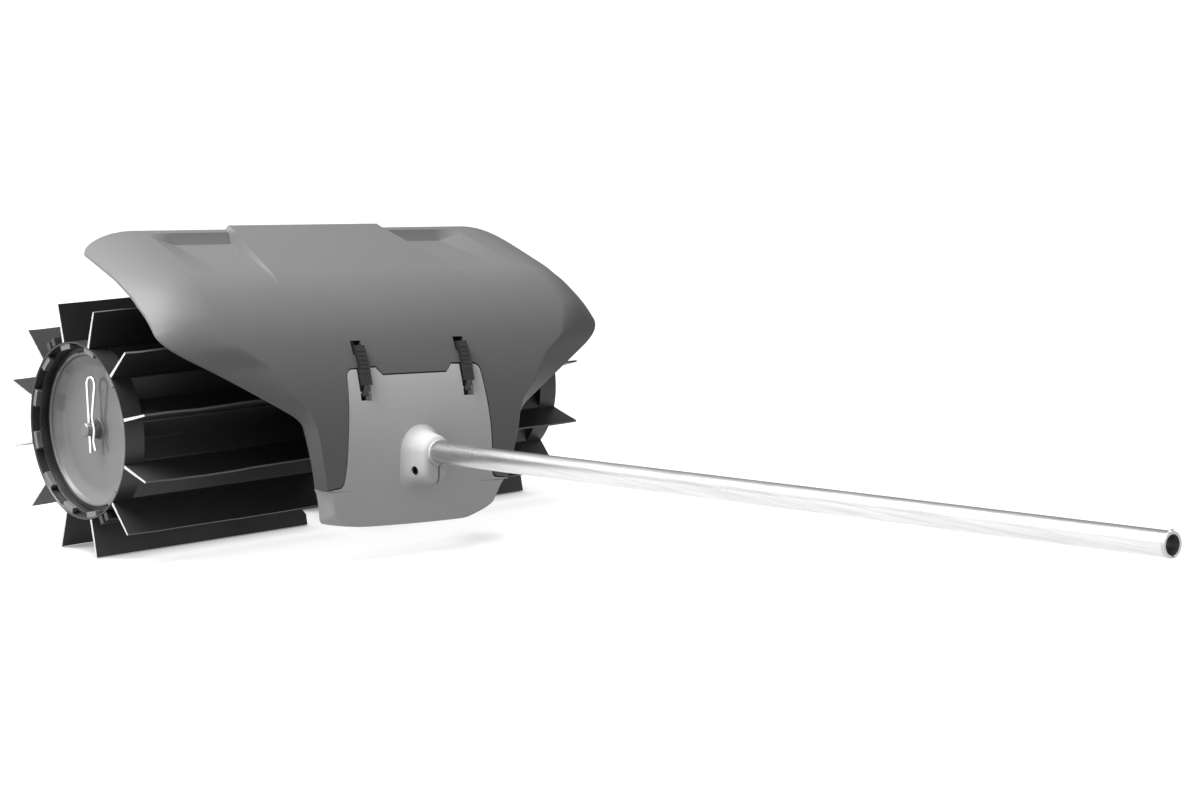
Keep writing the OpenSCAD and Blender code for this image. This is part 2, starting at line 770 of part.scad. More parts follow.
module end_cap(side)
  drum_side(side)
    spun_x(concat(
      [[axle_r + fit, cap_floor_x - 14],
       [axle_r + 5, cap_floor_x - 14],
       [axle_r + 5, cap_floor_x - cap_t],
       [cap_floor_r - 0.5, cap_floor_x - cap_t],
       [cap_lip_r, cap_flange_x],
       [ring_in_r - gap, cap_flange_x],
       [ring_in_r - gap, cap_flange_x + cap_t]],
      arc([cap_bead_r, cap_flange_x + cap_t], cap_bead_t * 0.75, 0, 180, 8),
      [[cap_floor_r, cap_floor_x],
       [cap_boss_r, cap_floor_x],
       [cap_boss_r, clip_x - clip_r - gap],
       [axle_r + fit, clip_x - clip_r - gap]]));
module end_cap_left() color("gray") end_cap(-1);
module end_cap_right() color("gray") end_cap(1);

// R-clip: a straight leg through the axle and a sprung leg round it

clip_hug_r = axle_r + clip_r + gap;
clip_hug_a = 14;
clip_neck_z = 13;
function clip_hug_y(z) = -clip_hug_r / cos(clip_hug_a) + z * tan(clip_hug_a);
// Corners of the wire and the radius of the bend at each
clip_path = [
  [0, clip_foot_z, 0],
  [0, clip_loop_z + clip_loop_r, clip_loop_r],
  [-2 * clip_loop_r - 2, clip_loop_z + clip_loop_r, clip_loop_r],
  [clip_hug_y(clip_neck_z), clip_neck_z, 8],
  [clip_hug_y(0), 0, clip_hug_r],
  [clip_hug_y(clip_neck_z - 1), 1 - clip_neck_z, 6],
  [clip_hug_y(clip_neck_z) - 3.6, clip_foot_z + 3, 0]
];
function way(p, q) = (q - p) / norm(q - p);
function bend_a(p, c, q) = let (u = way(p, c), v = way(c, q)) atan2(u[0] * v[1] - u[1] * v[0], u * v);
function yz(p) = [p[0], p[1]];
function bend_cut(i) =
  i == 0 || i == len(clip_path) - 1 ? 0
  : clip_path[i][2] * tan(abs(bend_a(yz(clip_path[i - 1]), yz(clip_path[i]), yz(clip_path[i + 1]))) / 2);

// Stations along the wire: place and heading, with a step for every 12 degrees of a bend
function clip_bend(i) =
  let (p = yz(clip_path[i]), u = way(yz(clip_path[i - 1]), p),
       a = bend_a(yz(clip_path[i - 1]), p, yz(clip_path[i + 1])),
       r = clip_path[i][2] * sign(a), h = atan2(u[1], u[0]),
       c = p - u * bend_cut(i) + [-u[1], u[0]] * r, n = max(3, ceil(abs(a) / 12)))
    [for (k = [0:n]) let (g = h + a * k / n) [c[0] + r * sin(g), c[1] - r * cos(g), g]];
function clip_ring(p) =
  [for (j = [0:wire_sides - 1]) let (t = 360 * (j + 0.5) / wire_sides, q = clip_r * cos(t))
    [clip_r * sin(t), p[0] - q * sin(p[2]), p[1] + q * cos(p[2])]];
wire_sides = 12;

module r_clip(side)
  at_axle() on_side(side) clip_frame() {
    last = len(clip_path) - 1;
    end_way = way(yz(clip_path[last - 1]), yz(clip_path[last]));
    stations = concat(
      [[0, clip_foot_z, 90]],
      [for (i = [1:last - 1]) each clip_bend(i)],
      [[clip_path[last][0], clip_path[last][1], atan2(end_way[1], end_way[0])]]);
    sweep([for (p = stations) clip_ring(p)]);
  }
module r_clip_left() color("white") r_clip(-1);
module r_clip_right() color("white") r_clip(1);

// Guard surface: a point on the side profile at the length s, and its outward normal

function profile_angle(s) =
  s < face_len ? leg_foot_a + s / face_r / arc_deg
  : s < face_len + bend_len ? face_top_a + (s - face_len) / bend_r / arc_deg
  : face_top_a + bend_sweep;
function profile_point(s) =
  let (a = profile_angle(s), past = max(0, s - face_len - bend_len))
    s < face_len
    ? [face_cy - face_r * cos(a), -face_drop + face_r * sin(a)]
    : [bend_cy - bend_r * cos(a) + past * cos(roof_slope),
       bend_cz + bend_r * sin(a) + past * sin(roof_slope)];
function profile_normal(s) = let (a = profile_angle(s)) [-cos(a), sin(a)];

function soft_max(a, b, k) = let (h = max(0, k - abs(a - b)) / k) max(a, b) + h * h * k / 4;
function soft_min(a, b, k) = -soft_max(-a, -b, k);
function full_w(s) =
  soft_min(soft_max(leg_w + leg_spread * s,
                    leg_w + leg_spread * arch_s + wing_spread * (s - arch_s), 11),
           wing_w - wing_taper * (s - elbow_s), 36);
function rim_w(s) =
  let (t = max(0, s - hood_len + rear_corner_len) / rear_corner_len, w = full_w(s))
    t > 0 ? rear_edge_w + (w - rear_edge_w) * sqrt(max(0, 1 - t * t)) : w;
function crease_w(s) = lookup(s, crease_table);
function panel_grow(s) = max(0, min(1, (s - panel_s0) / (panel_s1 - panel_s0)));
function band_w(s) =
  s < panel_s0 ? crease_w(s) * band_w0 / 240 : band_w0 + (band_w1 - band_w0) * panel_grow(s);
function panel_out(s) =
  s < panel_s0 ? crease_w(s) * panel_out0 / 240 : panel_out0 + (panel_out1 - panel_out0) * panel_grow(s);
function ramp(x, x0, x1) = max(0, min(1, (x - x0) / (x1 - x0)));

// How far the surface lies under the plain profile at the half width x
function edge_drop(x, s) =
  let (c = crease_w(s),
       t = max(0, x - c) / max(1, full_w(s) - c),
       p = 1 + 0.9 * ramp(s, 140, 210))
    lookup(s, drop_table) * pow(t, p);
function panel_drop(x, s, inset) =
  let (sunk = s > panel_s1 + inset ? 0 : 1 - ramp(x, panel_out(s) - panel_ramp, panel_out(s)))
    (rear_step + (panel_depth - rear_step) * sunk) * pow(panel_grow(s), panel_power)
    * ramp(x, band_w(s) - inset, band_w(s) - inset + panel_wall_run);

function half_columns(s, inset) =
  let (b = band_w(s), o = panel_out(s), c = crease_w(s), w = rim_w(s))
    [b * 0.5, b - inset, b - inset + panel_wall_run, (b + o - panel_ramp) / 2, o - panel_ramp, o, c,
     c + (w - c) * 0.25, c + (w - c) * 0.5, c + (w - c) * 0.75, w];
function columns(s, inset) =
  let (h = half_columns(s, inset), n = len(h))
    concat([for (i = [n - 1:-1:0]) -h[i]], [0], h);

row_step = 9;
rear_steps = [27, 22, 17, 12.5, 8.02];
function hood_rows(inset) = concat(
  [for (i = [0:floor((hood_len - 30) / row_step)]) i * row_step],
  [for (d = rear_steps) hood_len - d + (d < 9 ? inset : 0)],
  [panel_s1 + inset + 1.2, hood_len - 2.4, hood_len - 1, hood_len]);

function skin(inset, sink) =
  [for (s = hood_rows(inset)) let (p = profile_point(s), n = profile_normal(s))
    for (x = columns(s, inset))
      let (d = edge_drop(abs(x), s) + panel_drop(abs(x), s, inset) + sink)
        [x, p[0] - n[0] * d, p[1] - n[1] * d]];

module hood_sheet() {
  rows = len(hood_rows(0));
  cols = len(columns(0, 0));
  size = rows * cols;
  points = concat(skin(0, 0), skin(2.2, hood_wall));
  outer = [for (i = [0:rows - 2]) for (j = [0:cols - 2])
    let (a = i * cols + j) each [[a, a + cols, a + cols + 1], [a, a + cols + 1, a + 1]]];
  inner = [for (f = outer) [f[2] + size, f[1] + size, f[0] + size]];
  rim = concat([for (j = [0:cols - 1]) j],
               [for (i = [1:rows - 1]) i * cols + cols - 1],
               [for (j = [cols - 2:-1:0]) (rows - 1) * cols + j],
               [for (i = [rows - 2:-1:1]) i * cols]);
  edge = [for (k = [0:len(rim) - 1])
    let (a = rim[k], b = rim[(k + 1) % len(rim)]) each [[a, b, b + size], [a, b + size, a + size]]];
  polyhedron(points, concat(outer, inner, edge));
}

// Front plate outline, grown outwards by g
function plate_half(g) = concat(
  [[plate_mid_w + g * 0.4, plate_mid_top + g],
   [tab_in_w - g * 0.4, plate_top + g],
   [tab_out_w - 9, plate_top + g - 1]],
  arc([tab_out_w - 8, plate_top - 9], 8 + g, 80, 10, 6),
  [[plate_side_w - 3.5 + g, 5],
   [plate_side_w + g, -45]],
  [[plate_side_w + 1.5 + g, skirt_top + 7 + g],
   [plate_side_w + 5 + g, skirt_top + 3 + g],
   [skirt_w + g, skirt_top + g]],
  [[skirt_w + g, skirt_bottom + skirt_corner_r]],
  arc([skirt_w - skirt_corner_r, skirt_bottom + skirt_corner_r], skirt_corner_r + g, 0, -85, 8));
function plate_outline(g) = concat(
  plate_half(g),
  [[0, skirt_bottom - 2 - g]],
  [for (i = [len(plate_half(g)) - 1:-1:0]) [-plate_half(g)[i][0], plate_half(g)[i][1]]]);

// A band of the face, from the depth d0 to the depth d1 behind the outer surface
module face_band(d0, d1, x0, x1)
  intersection() {
    translate([0, face_cy, -face_drop]) ring_x(face_r - d0, face_r - d1, x0, x1, $fn = 160);
    translate([x0 - 1, -face_out - 30, -face_drop - face_r / 2]) cube([x1 - x0 + 2, 100, face_r]);
  }

module latch_openings()
  for (side = [-1, 1])
    translate([side * latch_x - latch_w / 2 - latch_side, face_cut_y0, latch_window_z0])
      cube([latch_w + 2 * latch_side, face_cut, plate_top + hood_wall - latch_window_z0]);

module guard_hood()
  color([0.3, 0.3, 0.3]) in_guard() {
    difference() {
      hood_sheet();
      slab_y(face_cut_y0, face_cut_y1) polygon(plate_outline(seam));
      for (side = [-1, 1])
        translate([side * latch_x - latch_w / 2 - latch_side, face_cut_y0, latch_slot_z0])
          cube([latch_w + 2 * latch_side, face_cut, latch_slot_z1 - latch_slot_z0]);
    }
    for (side = [-1, 1]) on_side(side) hood_tongue();
  }

// Tongue at the foot of each hood leg, which slips in behind the plate
module hood_tongue()
  intersection() {
    union() {
      face_band(plate_wall + gap, plate_wall + gap + 2.5, plate_side_w + 8, skirt_w - 6);
      intersection() {
        face_band(hood_wall - 0.5, plate_wall + gap + 2.5, plate_side_w + 8, skirt_w - 6);
        translate([0, face_cut_y0, skirt_top + 3]) cube([wing_w, face_cut, tongue_h]);
      }
    }
    translate([0, face_cut_y0, skirt_top + tongue_up - tongue_h]) cube([wing_w, face_cut, tongue_h]);
  }

face_y_at = function (z, d) face_cy - sqrt(pow(face_r - d, 2) - pow(z + face_drop, 2));
latch_pin_y = face_y_at(latch_pin_z, latch_pin_sink);

module front_plate()
  color("darkgray") {
    in_guard() {
      difference() {
        intersection() {
          slab_y(face_cut_y0, face_cut_y1) polygon(plate_outline(0));
          union() {
            face_band(0, plate_wall, -wing_w, wing_w);
            plate_returns();
            for (side = [-1, 1]) face_band(1, plate_wall + 7, side * 45 - 1, side * 45 + 1);
          }
        }
        latch_openings();
        in_guard_boss() bar_y(tube_r + fit, -300, 0);
        latch_pin_holes();
      }
      for (side = [-1, 1]) on_side(side) latch_cheeks();
    }
    boss();
  }

// Walls that turn back from the edge of the plate's lower part
module plate_returns()
  difference() {
    intersection() {
      face_band(0, return_depth, -wing_w, wing_w);
      translate([-wing_w, face_cut_y0, skirt_bottom - 20])
        cube([2 * wing_w, face_cut, skirt_top - return_wall - gap - skirt_bottom + 20]);
    }
    slab_y(face_cut_y0, face_cut_y1) polygon(plate_outline(-return_wall));
  }

module latch_cheeks()
  difference() {
    intersection() {
      for (x = [latch_x - latch_w / 2 - latch_side - cheek_t, latch_x + latch_w / 2 + latch_side])
        face_band(plate_wall - 0.5, cheek_depth, x, x + cheek_t);
      translate([0, face_cut_y0, latch_window_z0 - 3]) cube([wing_w, face_cut, cheek_h]);
    }
    latch_pin_holes();
  }

module latch_pin_holes()
  translate([0, latch_pin_y, latch_pin_z])
    for (side = [-1, 1])
      bar_x(latch_pin_r + fit, side * latch_x - latch_w, side * latch_x + latch_w);

// The boss lies on the tube's line; this undoes the guard's own level frame
module in_guard_boss()
  translate([0, -axle_y, -axle_z]) along_tube() translate([0, reach, 0]) children();

boss_base_y = -face_out + 3;
boss_front_y = -face_out - boss_out;
boss_deep = boss_base_y - boss_front_y;
module boss()
  under_axle() rotate([0, guard_turn, 0])
    difference() {
      union() {
        translate([0, boss_base_y, 0]) rotate([90, 0, 0])
          cylinder(r1 = boss_w, r2 = boss_front_w, h = boss_deep);
        intersection() {
          translate([0, 0, -boss_foot]) linear_extrude(height = boss_foot)
            polygon([[-boss_w, boss_base_y],
                     [-boss_front_w, boss_front_y],
                     [boss_front_w, boss_front_y],
                     [boss_w, boss_base_y]]);
          slab_x(-50, 50)
            polygon([[boss_base_y + 1, -boss_foot],
                     [boss_front_y + 6, -boss_foot + 3],
                     [boss_front_y, -boss_foot + 7],
                     [boss_front_y, 1],
                     [boss_base_y + 1, 1]]);
        }
        bar_y(sleeve_r, boss_base_y - 1, boss_base_y + sleeve_back);
      }
      bar_y(tube_r + fit, -300, 0);
      translate([-slit_w / 2, -300, -boss_foot - 1]) cube([slit_w, 300 + boss_base_y - 4, boss_foot]);
      translate([0, boss_base_y - clamp_fwd, -clamp_drop]) {
        bar_x(clamp_screw_r + fit, -40, 40);
        bar_x(clamp_head_r + 0.4, -40, -12);
        bar_x(clamp_head_r + 0.6, 12, 40, $fn = 6);
      }
    }

module at_clamp() under_axle() rotate([0, guard_turn, 0])
  translate([0, boss_base_y - clamp_fwd, -clamp_drop]) children();

module clamp_screw()
  color("black") at_clamp()
    difference() {
      union() {
        bar_x(clamp_screw_r, -13, 16);
        bar_x(clamp_head_r, -17, -12 - fit);
      }
      bar_x(2.4, -18, -14.5, $fn = 6);
    }

module clamp_nut()
  color("black") at_clamp()
    difference() {
      bar_x(clamp_head_r, 12 + fit, 15.5, $fn = 6);
      bar_x(clamp_screw_r + fit, 0, 20);
    }

// Latches: a curved strap on a hinge pin, with a nose that enters the hood's slot

module latch(side)
  in_guard() {
    x0 = side * latch_x - latch_w / 2;
    nose_r = latch_top_z - latch_pin_z;
    difference() {
      union() {
        intersection() {
          face_band(-latch_lift - latch_t, -latch_lift, x0, x0 + latch_w);
          translate([x0 - 1, face_cut_y0, latch_pin_z + 6])
            cube([latch_w + 2, face_cut, latch_top_z - latch_pin_z - 6]);
        }
        for (i = [0:latch_ribs - 1])
          let (z = latch_rib_z0 + i * (latch_rib_z1 - latch_rib_z0) / (latch_ribs - 1))
            translate([0, face_y_at(z, latch_rib_sink - latch_lift - latch_t), z])
              bar_x(latch_rib_r, x0, x0 + latch_w);
        translate([0, latch_pin_y, latch_pin_z]) bar_x(latch_eye_r, x0, x0 + latch_w);
        slab_x(x0, x0 + latch_w)
          polygon([[latch_pin_y - 3, latch_pin_z - 2],
                   [latch_pin_y + 3, latch_pin_z + 2],
                   [face_y_at(latch_pin_z + 7, -latch_lift), latch_pin_z + 7],
                   [face_y_at(latch_pin_z + 7, -latch_lift - latch_t), latch_pin_z + 7]]);
        intersection() {
          translate([0, latch_pin_y, latch_pin_z]) ring_x(nose_r, nose_r - latch_t, x0, x0 + latch_w);
          translate([x0 - 1, face_y_at(latch_top_z, -latch_lift - latch_t), latch_pin_z]) cube([latch_w + 2, 14, 60]);
        }
      }
      translate([0, latch_pin_y, latch_pin_z]) bar_x(latch_pin_r + running_fit, x0 - 1, x0 + latch_w + 1);
    }
  }
module latch_left() color([0.1, 0.1, 0.1]) latch(-1);
module latch_right() color([0.1, 0.1, 0.1]) latch(1);

module latch_pins()
  color("silver") in_guard() translate([0, latch_pin_y, latch_pin_z])
    for (side = [-1, 1])
      bar_x(latch_pin_r, side * latch_x - latch_w / 2 - latch_side - cheek_t,
            side * latch_x + latch_w / 2 + latch_side + cheek_t);

drive_tube();
tube_end_ring();
shaft_bushes();
gearbox_left();
gearbox_right();
gearbox_screws();
grease_plug();
axle_bearing_outer_rings();
axle_bearing_balls();
worm_bearing_outer_rings();
worm_bearing_balls();
axle_seals();
shaft_seal();
front_plate();
clamp_screw();
clamp_nut();
guard_hood();
latch_pins();
latch_left();
latch_right();
axle();
worm_wheel();
wheel_key();
axle_bearing_inner_rings();
axle_spacers();
hub_plate_left();
hub_plate_right();
drive_pin_left();
drive_pin_right();
upper_shell_left();
upper_shell_right();
lower_shell_left();
lower_shell_right();
flaps_left();
flaps_right();
end_ring_left();
end_ring_right();
end_cap_left();
end_cap_right();
r_clip_left();
r_clip_right();
drive_shaft();
worm();
worm_bearing_inner_rings();
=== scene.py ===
import json
import math

import bmesh
import bpy
from mathutils import Matrix, Vector, noise


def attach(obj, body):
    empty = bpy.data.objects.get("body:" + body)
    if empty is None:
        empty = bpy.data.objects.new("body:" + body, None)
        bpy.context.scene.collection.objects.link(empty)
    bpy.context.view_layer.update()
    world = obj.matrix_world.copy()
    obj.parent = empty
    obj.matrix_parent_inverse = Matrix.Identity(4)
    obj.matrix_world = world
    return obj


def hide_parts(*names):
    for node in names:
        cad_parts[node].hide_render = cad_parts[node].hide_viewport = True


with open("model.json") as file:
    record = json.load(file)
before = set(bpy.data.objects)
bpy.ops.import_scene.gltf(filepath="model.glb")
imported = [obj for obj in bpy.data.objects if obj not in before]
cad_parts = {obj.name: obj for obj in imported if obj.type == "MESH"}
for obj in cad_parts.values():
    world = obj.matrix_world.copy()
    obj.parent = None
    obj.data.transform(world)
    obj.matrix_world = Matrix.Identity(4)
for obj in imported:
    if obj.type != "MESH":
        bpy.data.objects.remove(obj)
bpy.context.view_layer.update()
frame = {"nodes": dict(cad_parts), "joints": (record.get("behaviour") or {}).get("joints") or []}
nodes = frame["nodes"]


# Places, from the frame. Shapes are drawn in millimetres, and these matrices set them down in metres.


joints = {joint["name"]: joint for joint in frame["joints"]}
AXLE = Vector(joints["rotor_spin"]["pos_m"])
along = joints["drive_spin"]["axis"]
RISE = math.atan2(-along[2], along[1])
FOOT = AXLE.y * math.cos(RISE) - AXLE.z * math.sin(RISE)
MM = Matrix.Scale(0.001, 4)
TILT = Matrix.Rotation(-RISE, 4, "X")
GUARD_TURN = Matrix.Rotation(math.radians(3.3), 4, "Y")
GUARD = TILT @ GUARD_TURN @ TILT.inverted() @ Matrix.Translation(AXLE) @ MM
BOSS = TILT @ Matrix.Translation((0, FOOT, 0)) @ GUARD_TURN @ MM
RIGHT_DRUM_TURN = 60
SIDES = (-1, 1)


def drum(side):
    """A drum's frame in millimetres, its outer end along +X."""
    turn = Matrix.Rotation(math.radians(RIGHT_DRUM_TURN if side > 0 else 0), 4, "X")
    return Matrix.Translation(AXLE) @ Matrix.Diagonal((side, 1, 1, 1)) @ turn @ MM


def side_name(side):
    return "right" if side > 0 else "left"


# The hood's shape about the axle: X across it, s along its surface from the foot of the face up to the rear


FACE_R, BEND_R, ROOF = 260.0, 155.0, 124.0
FACE_Y, FACE_Z = -225.5 + FACE_R, -35
FACE_START, BEND_START = math.radians(-5.5), math.radians(30.5)
FACE_LEN = math.radians(36) * FACE_R
BEND_LEN = math.radians(41.6) * BEND_R
HOOD_LEN = FACE_LEN + BEND_LEN + ROOF
HOOD_T, HOOD_STEP_T = 3.0, 2.2

# Half widths: narrow legs, a knee at s = 79 where the wings spread, and sides that draw in a little
LEG_W, LEG_LEAN = 132.6, 0.233
KNEE, KNEE_W, SPREAD, KNEE_BLEND = 79, 151, 1.571, 11
SIDE_W, SIDE_LEAN, ELBOW_BLEND = 303, 0.02, 36
ELBOW = KNEE + (SIDE_W - LEG_W - LEG_LEAN * KNEE) / SPREAD
CORNER_R, CORNER_W = 24, 243

# Where the face creases into the wings, and how far the wings drop from there to the rim
CREASE_W = 240
CREASE = [(0, 124), (35, 132.5), (69, 139.6), (89.5, 148), (106, 166), (140, 192), (162, 222),
          (200, CREASE_W), (250, CREASE_W), (HOOD_LEN, 228)]
DROP = [(0, 9), (75, 10.5), (110, 15.5), (150, 19), (200, 25), (250, 26), (310, 18.5), (HOOD_LEN, 16)]
CURL_START, CURL_END, CURL = 140, 210, 0.9

# The raised band, and the sunk panels beside it, which draw in towards the rear
BAND_W, BAND_TAPER = 134, 30
PANEL_W, PANEL_TAPER = 224, 9
PANEL_START, PANEL_END = 238.0, HOOD_LEN - 8
PANEL_DEPTH, REAR_STEP = 16.0, 5.0
SIDE_SLOPE, REAR_SLOPE, BAND_SLOPE = 30, 13.0, 3


def ramp(value, low, high):
    """From 0 at low to 1 at high, and level beyond."""
    return max(0.0, min(1.0, (value - low) / (high - low)))


def lookup(value, table):
    """Straight lines through the table's points."""
    for (a, p), (b, q) in zip(table, table[1:]):
        if value <= b:
            return p + (q - p) * ramp(value, a, b)
    return table[-1][1]


def profile(s):
    """The side profile at s: place in Y and Z, and outward normal."""
    if s < FACE_LEN:
        a = FACE_START + s / FACE_R
        return FACE_Y - FACE_R * math.cos(a), FACE_Z + FACE_R * math.sin(a), -math.cos(a), math.sin(a)
    a = BEND_START + min(s - FACE_LEN, BEND_LEN) / BEND_R
    past = max(0.0, s - FACE_LEN - BEND_LEN)
    y = FACE_Y - (FACE_R - BEND_R) * math.cos(BEND_START) - BEND_R * math.cos(a) + past * math.sin(a)
    z = FACE_Z + (FACE_R - BEND_R) * math.sin(BEND_START) + BEND_R * math.sin(a) + past * math.cos(a)
    return y, z, -math.cos(a), math.sin(a)


def soft_max(a, b, k):
    """The larger value, blended over a stretch of k where the two cross."""
    h = max(0.0, k - abs(a - b)) / k
    return max(a, b) + h * h * k / 4


def wing(s):
    """Half width of the hood without its rounded rear corners."""
    spread = soft_max(LEG_W + LEG_LEAN * s, KNEE_W + SPREAD * (s - KNEE), KNEE_BLEND)
    return -soft_max(-spread, -(SIDE_W - SIDE_LEAN * (s - ELBOW)), ELBOW_BLEND)


def rim(s):
    """Half width of the hood with its rounded rear corners."""
    t = max(0.0, s - HOOD_LEN + CORNER_R) / CORNER_R
    return wing(s) if t == 0 else CORNER_W + (wing(s) - CORNER_W) * math.sqrt(max(0.0, 1 - t * t))


def panel_grow(s):
    """How far the sunk panels have grown at s."""
    return ramp(s, PANEL_START, PANEL_END)


def band(s):
    """Half width of the raised band."""
    if s < PANEL_START:
        return lookup(s, CREASE) * BAND_W / CREASE_W
    return BAND_W - BAND_TAPER * panel_grow(s)


def panel_side(s):
    """Where a sunk panel ends beside the wing."""
    if s < PANEL_START:
        return lookup(s, CREASE) * PANEL_W / CREASE_W
    return PANEL_W - PANEL_TAPER * panel_grow(s)


def sink(x, s, inset):
    """How far the surface lies under the plain profile."""
    crease = lookup(s, CREASE)
    out = max(0.0, x - crease) / max(1.0, wing(s) - crease)
    down = lookup(s, DROP) * out ** (1 + CURL * ramp(s, CURL_START, CURL_END))
    sunk = 1 - ramp(x, panel_side(s) - SIDE_SLOPE, panel_side(s))
    sunk *= 1 - ramp(s, PANEL_END + inset - REAR_SLOPE, PANEL_END + inset)
    edge = band(s) - inset
    step = REAR_STEP + (PANEL_DEPTH - REAR_STEP) * sunk
    return down + step * panel_grow(s) ** 1.6 * ramp(x, edge, edge + BAND_SLOPE)


# Shaping helpers


def piece(name, mesh, *finishes):
    """Turns a bmesh into an object at the origin, with its place in its mesh."""
    data = bpy.data.meshes.new(name)
    mesh.to_mesh(data)
    mesh.free()
    for made in finishes:
        data.materials.append(made)
    made = bpy.data.objects.new(name, data)
    bpy.context.scene.collection.objects.link(made)
    return made


def steps(marks):
    """Values from mark to mark, each stretch cut into its own count of equal steps."""
    out = [marks[0][0]]
    for (a, _), (b, count) in zip(marks, marks[1:]):
        out += [a + (b - a) * k / count for k in range(1, count + 1)]
    return out


def arc(cx, cy, radius, degrees):
    """Points of an arc about a centre, one at each angle."""
    angles = [math.radians(a) for a in degrees]
    return [(cx + radius * math.cos(a), cy + radius * math.sin(a)) for a in angles]


def thickened(mesh, way):
    """Draws all faces along a vector into one solid."""
    moved = bmesh.ops.extrude_face_region(mesh, geom=mesh.faces[:])["geom"]
    bmesh.ops.translate(mesh, verts=[v for v in moved if isinstance(v, bmesh.types.BMVert)], vec=way)
    bmesh.ops.recalc_face_normals(mesh, faces=mesh.faces)
    return mesh


def flat_face(points):
    """One face through the points."""
    mesh = bmesh.new()
    mesh.faces.new([mesh.verts.new(point) for point in points])
    return mesh


def prism(outline, low, high):
    """An outline in X and Z, drawn along Y from low to high."""
    return thickened(flat_face([(x, low, z) for x, z in outline]), (0, high - low, 0))


def plank(outline, low, high):
    """An outline in Y and Z, drawn along X from low to high."""
    return thickened(flat_face([(low, y, z) for y, z in outline]), (high - low, 0, 0))


def block(low, high):
    """A box between two corners."""
    mesh = bmesh.new()
    made = bmesh.ops.create_cube(mesh, size=1)["verts"]
    bmesh.ops.scale(mesh, verts=made, vec=[b - a for a, b in zip(low, high)])
    bmesh.ops.translate(mesh, verts=made, vec=[(a + b) / 2 for a, b in zip(low, high)])
    return mesh


def rod(radius, start, end, sides=48):
    """A round bar between two points, or one with few sides."""
    start, end = Vector(start), Vector(end)
    mesh = bmesh.new()
    made = bmesh.ops.create_cone(mesh, cap_ends=True, segments=sides, radius1=radius, radius2=radius,
                                 depth=(end - start).length)["verts"]
    aim = (end - start).to_track_quat("Z", "Y").to_matrix().to_4x4()
    bmesh.ops.transform(mesh, verts=made, matrix=Matrix.Translation((start + end) / 2) @ aim)
    return mesh


def turned_ring(points, steps_round=120):
    """A closed profile of radius and place, turned round the axle."""
    mesh = bmesh.new()
    ring = [mesh.verts.new((x, r, 0)) for r, x in points]
    edges = [mesh.edges.new((a, b)) for a, b in zip(ring, ring[1:] + ring[:1])]
    bmesh.ops.spin(mesh, geom=ring + edges, cent=(0, 0, 0), axis=(1, 0, 0), angle=math.tau,
                   steps=steps_round, use_merge=True)
    bmesh.ops.remove_doubles(mesh, verts=mesh.verts, dist=0.0005)
    bmesh.ops.recalc_face_normals(mesh, faces=mesh.faces)
    return mesh


def arc_block(low_r, high_r, low_x, high_x, middle, width, count=8):
    """A curved block of a ring, about an angle in degrees."""
    mesh = flat_face([(low_x, low_r, 0), (high_x, low_r, 0), (high_x, high_r, 0), (low_x, high_r, 0)])
    start = Matrix.Rotation(math.radians(middle - width / 2), 3, "X")
    bmesh.ops.rotate(mesh, verts=mesh.verts, cent=(0, 0, 0), matrix=start)
    bmesh.ops.spin(mesh, geom=[*mesh.faces, *mesh.edges, *mesh.verts], cent=(0, 0, 0), axis=(1, 0, 0),
                   angle=math.radians(width), steps=count)
    bmesh.ops.recalc_face_normals(mesh, faces=mesh.faces)
    return mesh


def joined(*meshes):
    """Several meshes as one, still separate shells."""
    data = bpy.data.meshes.new("joined")
    whole = bmesh.new()
    for mesh in meshes:
        mesh.to_mesh(data)
        mesh.free()
        whole.from_mesh(data)
    bpy.data.meshes.remove(data)
    return whole


def carved(body, *cuts):
    """The body with the other meshes cut away, joined on or kept in common."""
    target = piece("carved_body", body)
    tools = []
    for how, tool in cuts:
        tools.append(piece("carving_tool", tool))
        step = target.modifiers.new("carve", "BOOLEAN")
        step.operation = how
        step.solver = "EXACT"
        step.object = tools[-1]
    ready = target.evaluated_get(bpy.context.evaluated_depsgraph_get())
    mesh = bmesh.new()
    mesh.from_mesh(ready.data)
    for used in (target, *tools):
        data = used.data
        bpy.data.objects.remove(used)
        bpy.data.meshes.remove(data)
    return mesh


def placed(mesh, place):
    """The mesh in another frame, its faces still outwards when that frame is mirrored."""
    bmesh.ops.transform(mesh, verts=mesh.verts, matrix=place)
    if place.determinant() < 0:
        bmesh.ops.reverse_faces(mesh, faces=mesh.faces)
    return mesh


def mirrored(half, middle=()):
    """A closed outline from its right half, whose points run downwards to the middle ones."""
    return [*half, *middle, *[(-x, z) for x, z in reversed(half)]]


def smooth(obj, angle=30):
    """Smooth shading, with the edges sharper than the angle kept."""
    for face in obj.data.polygons:
        face.use_smooth = True
    obj.data.set_sharp_from_angle(angle=math.radians(angle))


def rounded(obj, width, angle=35):
    """Rounds every edge sharper than the angle, to a width in millimetres."""
    smooth(obj, angle)
    step = obj.modifiers.new("edge_rounding", "BEVEL")
    step.width = width * 0.001
    step.segments = 2
    step.limit_method = "ANGLE"
    step.angle_limit = math.radians(angle)
    step.miter_outer = "MITER_ARC"
    step.use_clamp_overlap = True
    even = obj.modifiers.new("even_shading", "WEIGHTED_NORMAL")
    even.keep_sharp = False
    even.weight = 60


def stands_for(obj, body, slot, *node_names):
    """The piece rides on its body and takes the place of the CAD nodes."""
    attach(obj, body)
    if node_names:
        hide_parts(*node_names)


